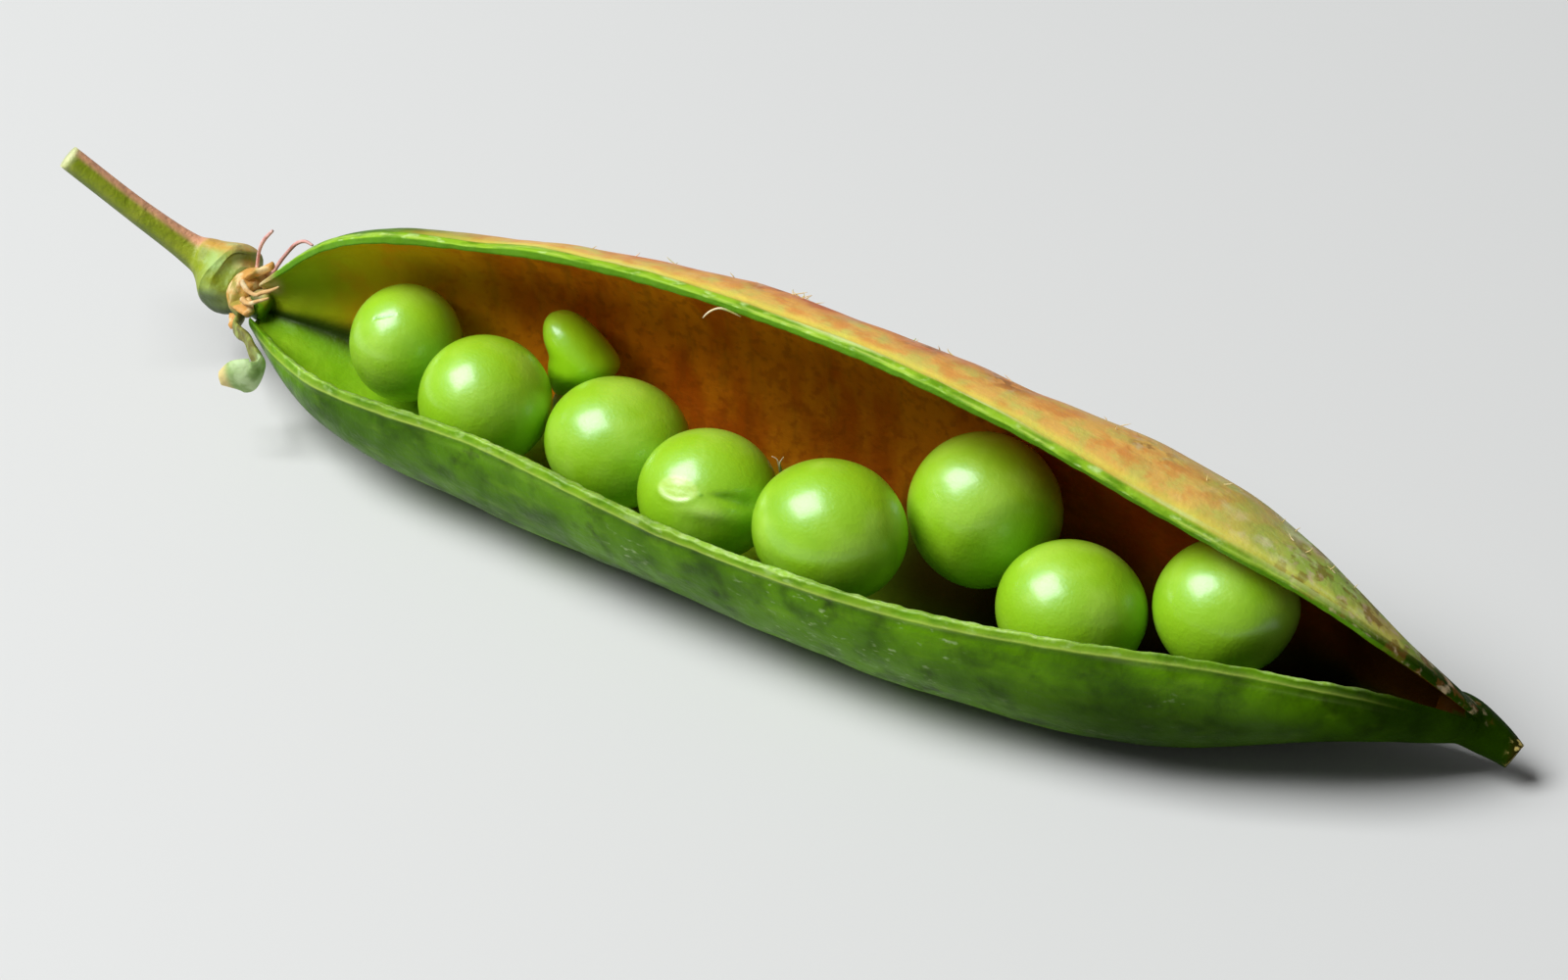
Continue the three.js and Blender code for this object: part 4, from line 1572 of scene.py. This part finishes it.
    @staticmethod
    def together(strands: list[np.ndarray], name: str) -> bpy.types.Object:
        """Lofts several strands' rings and joins them in one object."""
        pieces = [loft(f"{name}_{i}", rings) for i, rings in enumerate(strands)]
        return join(pieces, name)


# ------------------------------------------------------------------ studio


@dataclass(frozen=True)
class Softbox:
    """One square soft light that faces the pod.

    Attributes:
        name: the light's name.
        direction: where it stands, seen from the pod.
        away_m: how far off.
        size_m: its side.
        watts: its power.
        colour: its colour.
        gloss: how strongly it shows as a reflection.
    """

    name: str
    direction: Point
    away_m: float
    size_m: float
    watts: float
    colour: str
    gloss: float = 1.0

    def build(self) -> None:
        """Sets up the light."""
        light = bpy.data.lights.new(self.name, "AREA")
        light.size, light.energy, light.color = self.size_m, self.watts, linear(self.colour)[:3]
        light.specular_factor = self.gloss
        stand = bpy.data.objects.new(self.name, light)
        bpy.context.scene.collection.objects.link(stand)
        stand.location = Vector(self.direction).normalized() * self.away_m
        stand.rotation_mode = "QUATERNION"
        stand.rotation_quaternion = Vector(self.direction).to_track_quat("Z", "Y")


@dataclass
class Studio:
    """Plain pale floor, soft light from above left, and the camera.

    Attributes:
        camera_at: the camera's place, in millimetres.
        camera_aim: the place that it looks at, in millimetres.
        roll_degrees: how far it is turned about its view.
        lens_mm, sensor_mm: its focal length and the width of its sensor.
        nearest_m, farthest_m: the reach of its view.
        floor_size_m, floor_colour, floor_roughness: the sheet of paper under the pod.
        lights: the soft lights.
        air_colour, air_strength: the even light from all round.
    """

    camera_at: Point = (104.8, -223.4, 180.5)
    camera_aim: Point = (-5.9, 9.4, 0.0)
    roll_degrees: float = 0.13
    lens_mm: float = 114.0
    sensor_mm: float = 36.0
    nearest_m: float = 0.01
    farthest_m: float = 10.0
    floor_size_m: float = 4.0
    floor_colour: str = "d5d4d1"
    floor_roughness: float = 0.75
    lights: tuple[Softbox, ...] = (
        Softbox("key", (-0.5, -0.3, 0.8), 0.9, 0.58, 12.3, "f9fcff"),
        Softbox("fill", (0.55, -0.75, 0.45), 1.4, 1.0, 0.25, "fffaf4", 0.25),
    )
    air_colour: str = "eef0f2"
    air_strength: float = 0.1

    def build(self) -> None:
        """Sets up the floor, the lights, the world and the camera."""
        self.lay_floor()
        for light in self.lights:
            light.build()
        world = bpy.data.worlds.new("studio_air")
        world.use_nodes = True
        sky = world.node_tree.nodes["Background"]
        sky.inputs["Color"].default_value = linear(self.air_colour)
        sky.inputs["Strength"].default_value = self.air_strength
        bpy.context.scene.world = world
        bpy.context.scene.view_settings.view_transform = "Standard"
        self.place_camera()

    def lay_floor(self) -> None:
        """Lays a large sheet of matt paper under the pod."""
        bpy.ops.object.select_all(action="DESELECT")
        bpy.ops.mesh.primitive_plane_add(size=self.floor_size_m)
        floor = bpy.context.object
        floor.name = "studio_floor"
        colour = linear(self.floor_colour)
        paper = Painter("matt_paper").close(Base_Color=colour, Roughness=self.floor_roughness)
        floor.data.materials.append(paper)

    def place_camera(self) -> None:
        """Sets the camera on its place, aimed and rolled."""
        lens = bpy.data.cameras.new("view")
        lens.sensor_width, lens.lens = self.sensor_mm, self.lens_mm
        lens.clip_start, lens.clip_end = self.nearest_m, self.farthest_m
        camera = bpy.data.objects.new("view", lens)
        bpy.context.scene.collection.objects.link(camera)
        spot, aim = (Vector(p) * MM for p in (self.camera_at, self.camera_aim))
        turned = (aim - spot).to_track_quat("-Z", "Y").to_matrix().to_4x4()
        roll = Matrix.Rotation(math.radians(self.roll_degrees), 4, "Z")
        camera.matrix_world = Matrix.Translation(spot) @ turned @ roll
        bpy.context.scene.camera = camera


def main() -> None:
    """Builds the studio and every sub-assembly in order."""
    logging.basicConfig(level=logging.INFO, format="%(name)s: %(message)s")
    Studio().build()
    wall = PodWall()
    finish_piece(wall.build(), PodSkin().make(), "pod_shell", "pod_shell")
    Peas().build()
    finish_piece(Stem().build(), StalkSkin().make(), "stem", "stem")
    finish_piece(Calyx().build(), WitheredSepal().make(), "calyx", "calyx")
    fibres = Fibres()
    stamen = DryTissue("dried_stamen", "dba096", "e8bcb2", "b87a6c").make()
    finish_piece(fibres.build_stamens(), stamen, "calyx")
    shred = DryTissue("torn_fibre", "dcc37c", "f0dcb4", "a9bf52").make()
    finish_piece(fibres.build_shreds(wall), shred, "pod_shell")
    prong = DryTissue("dry_prong", "cfa468", "e6cf9e", "a87840").make()
    finish_piece(fibres.build_prongs(), prong, "calyx")


if __name__ == "__main__":
    main()
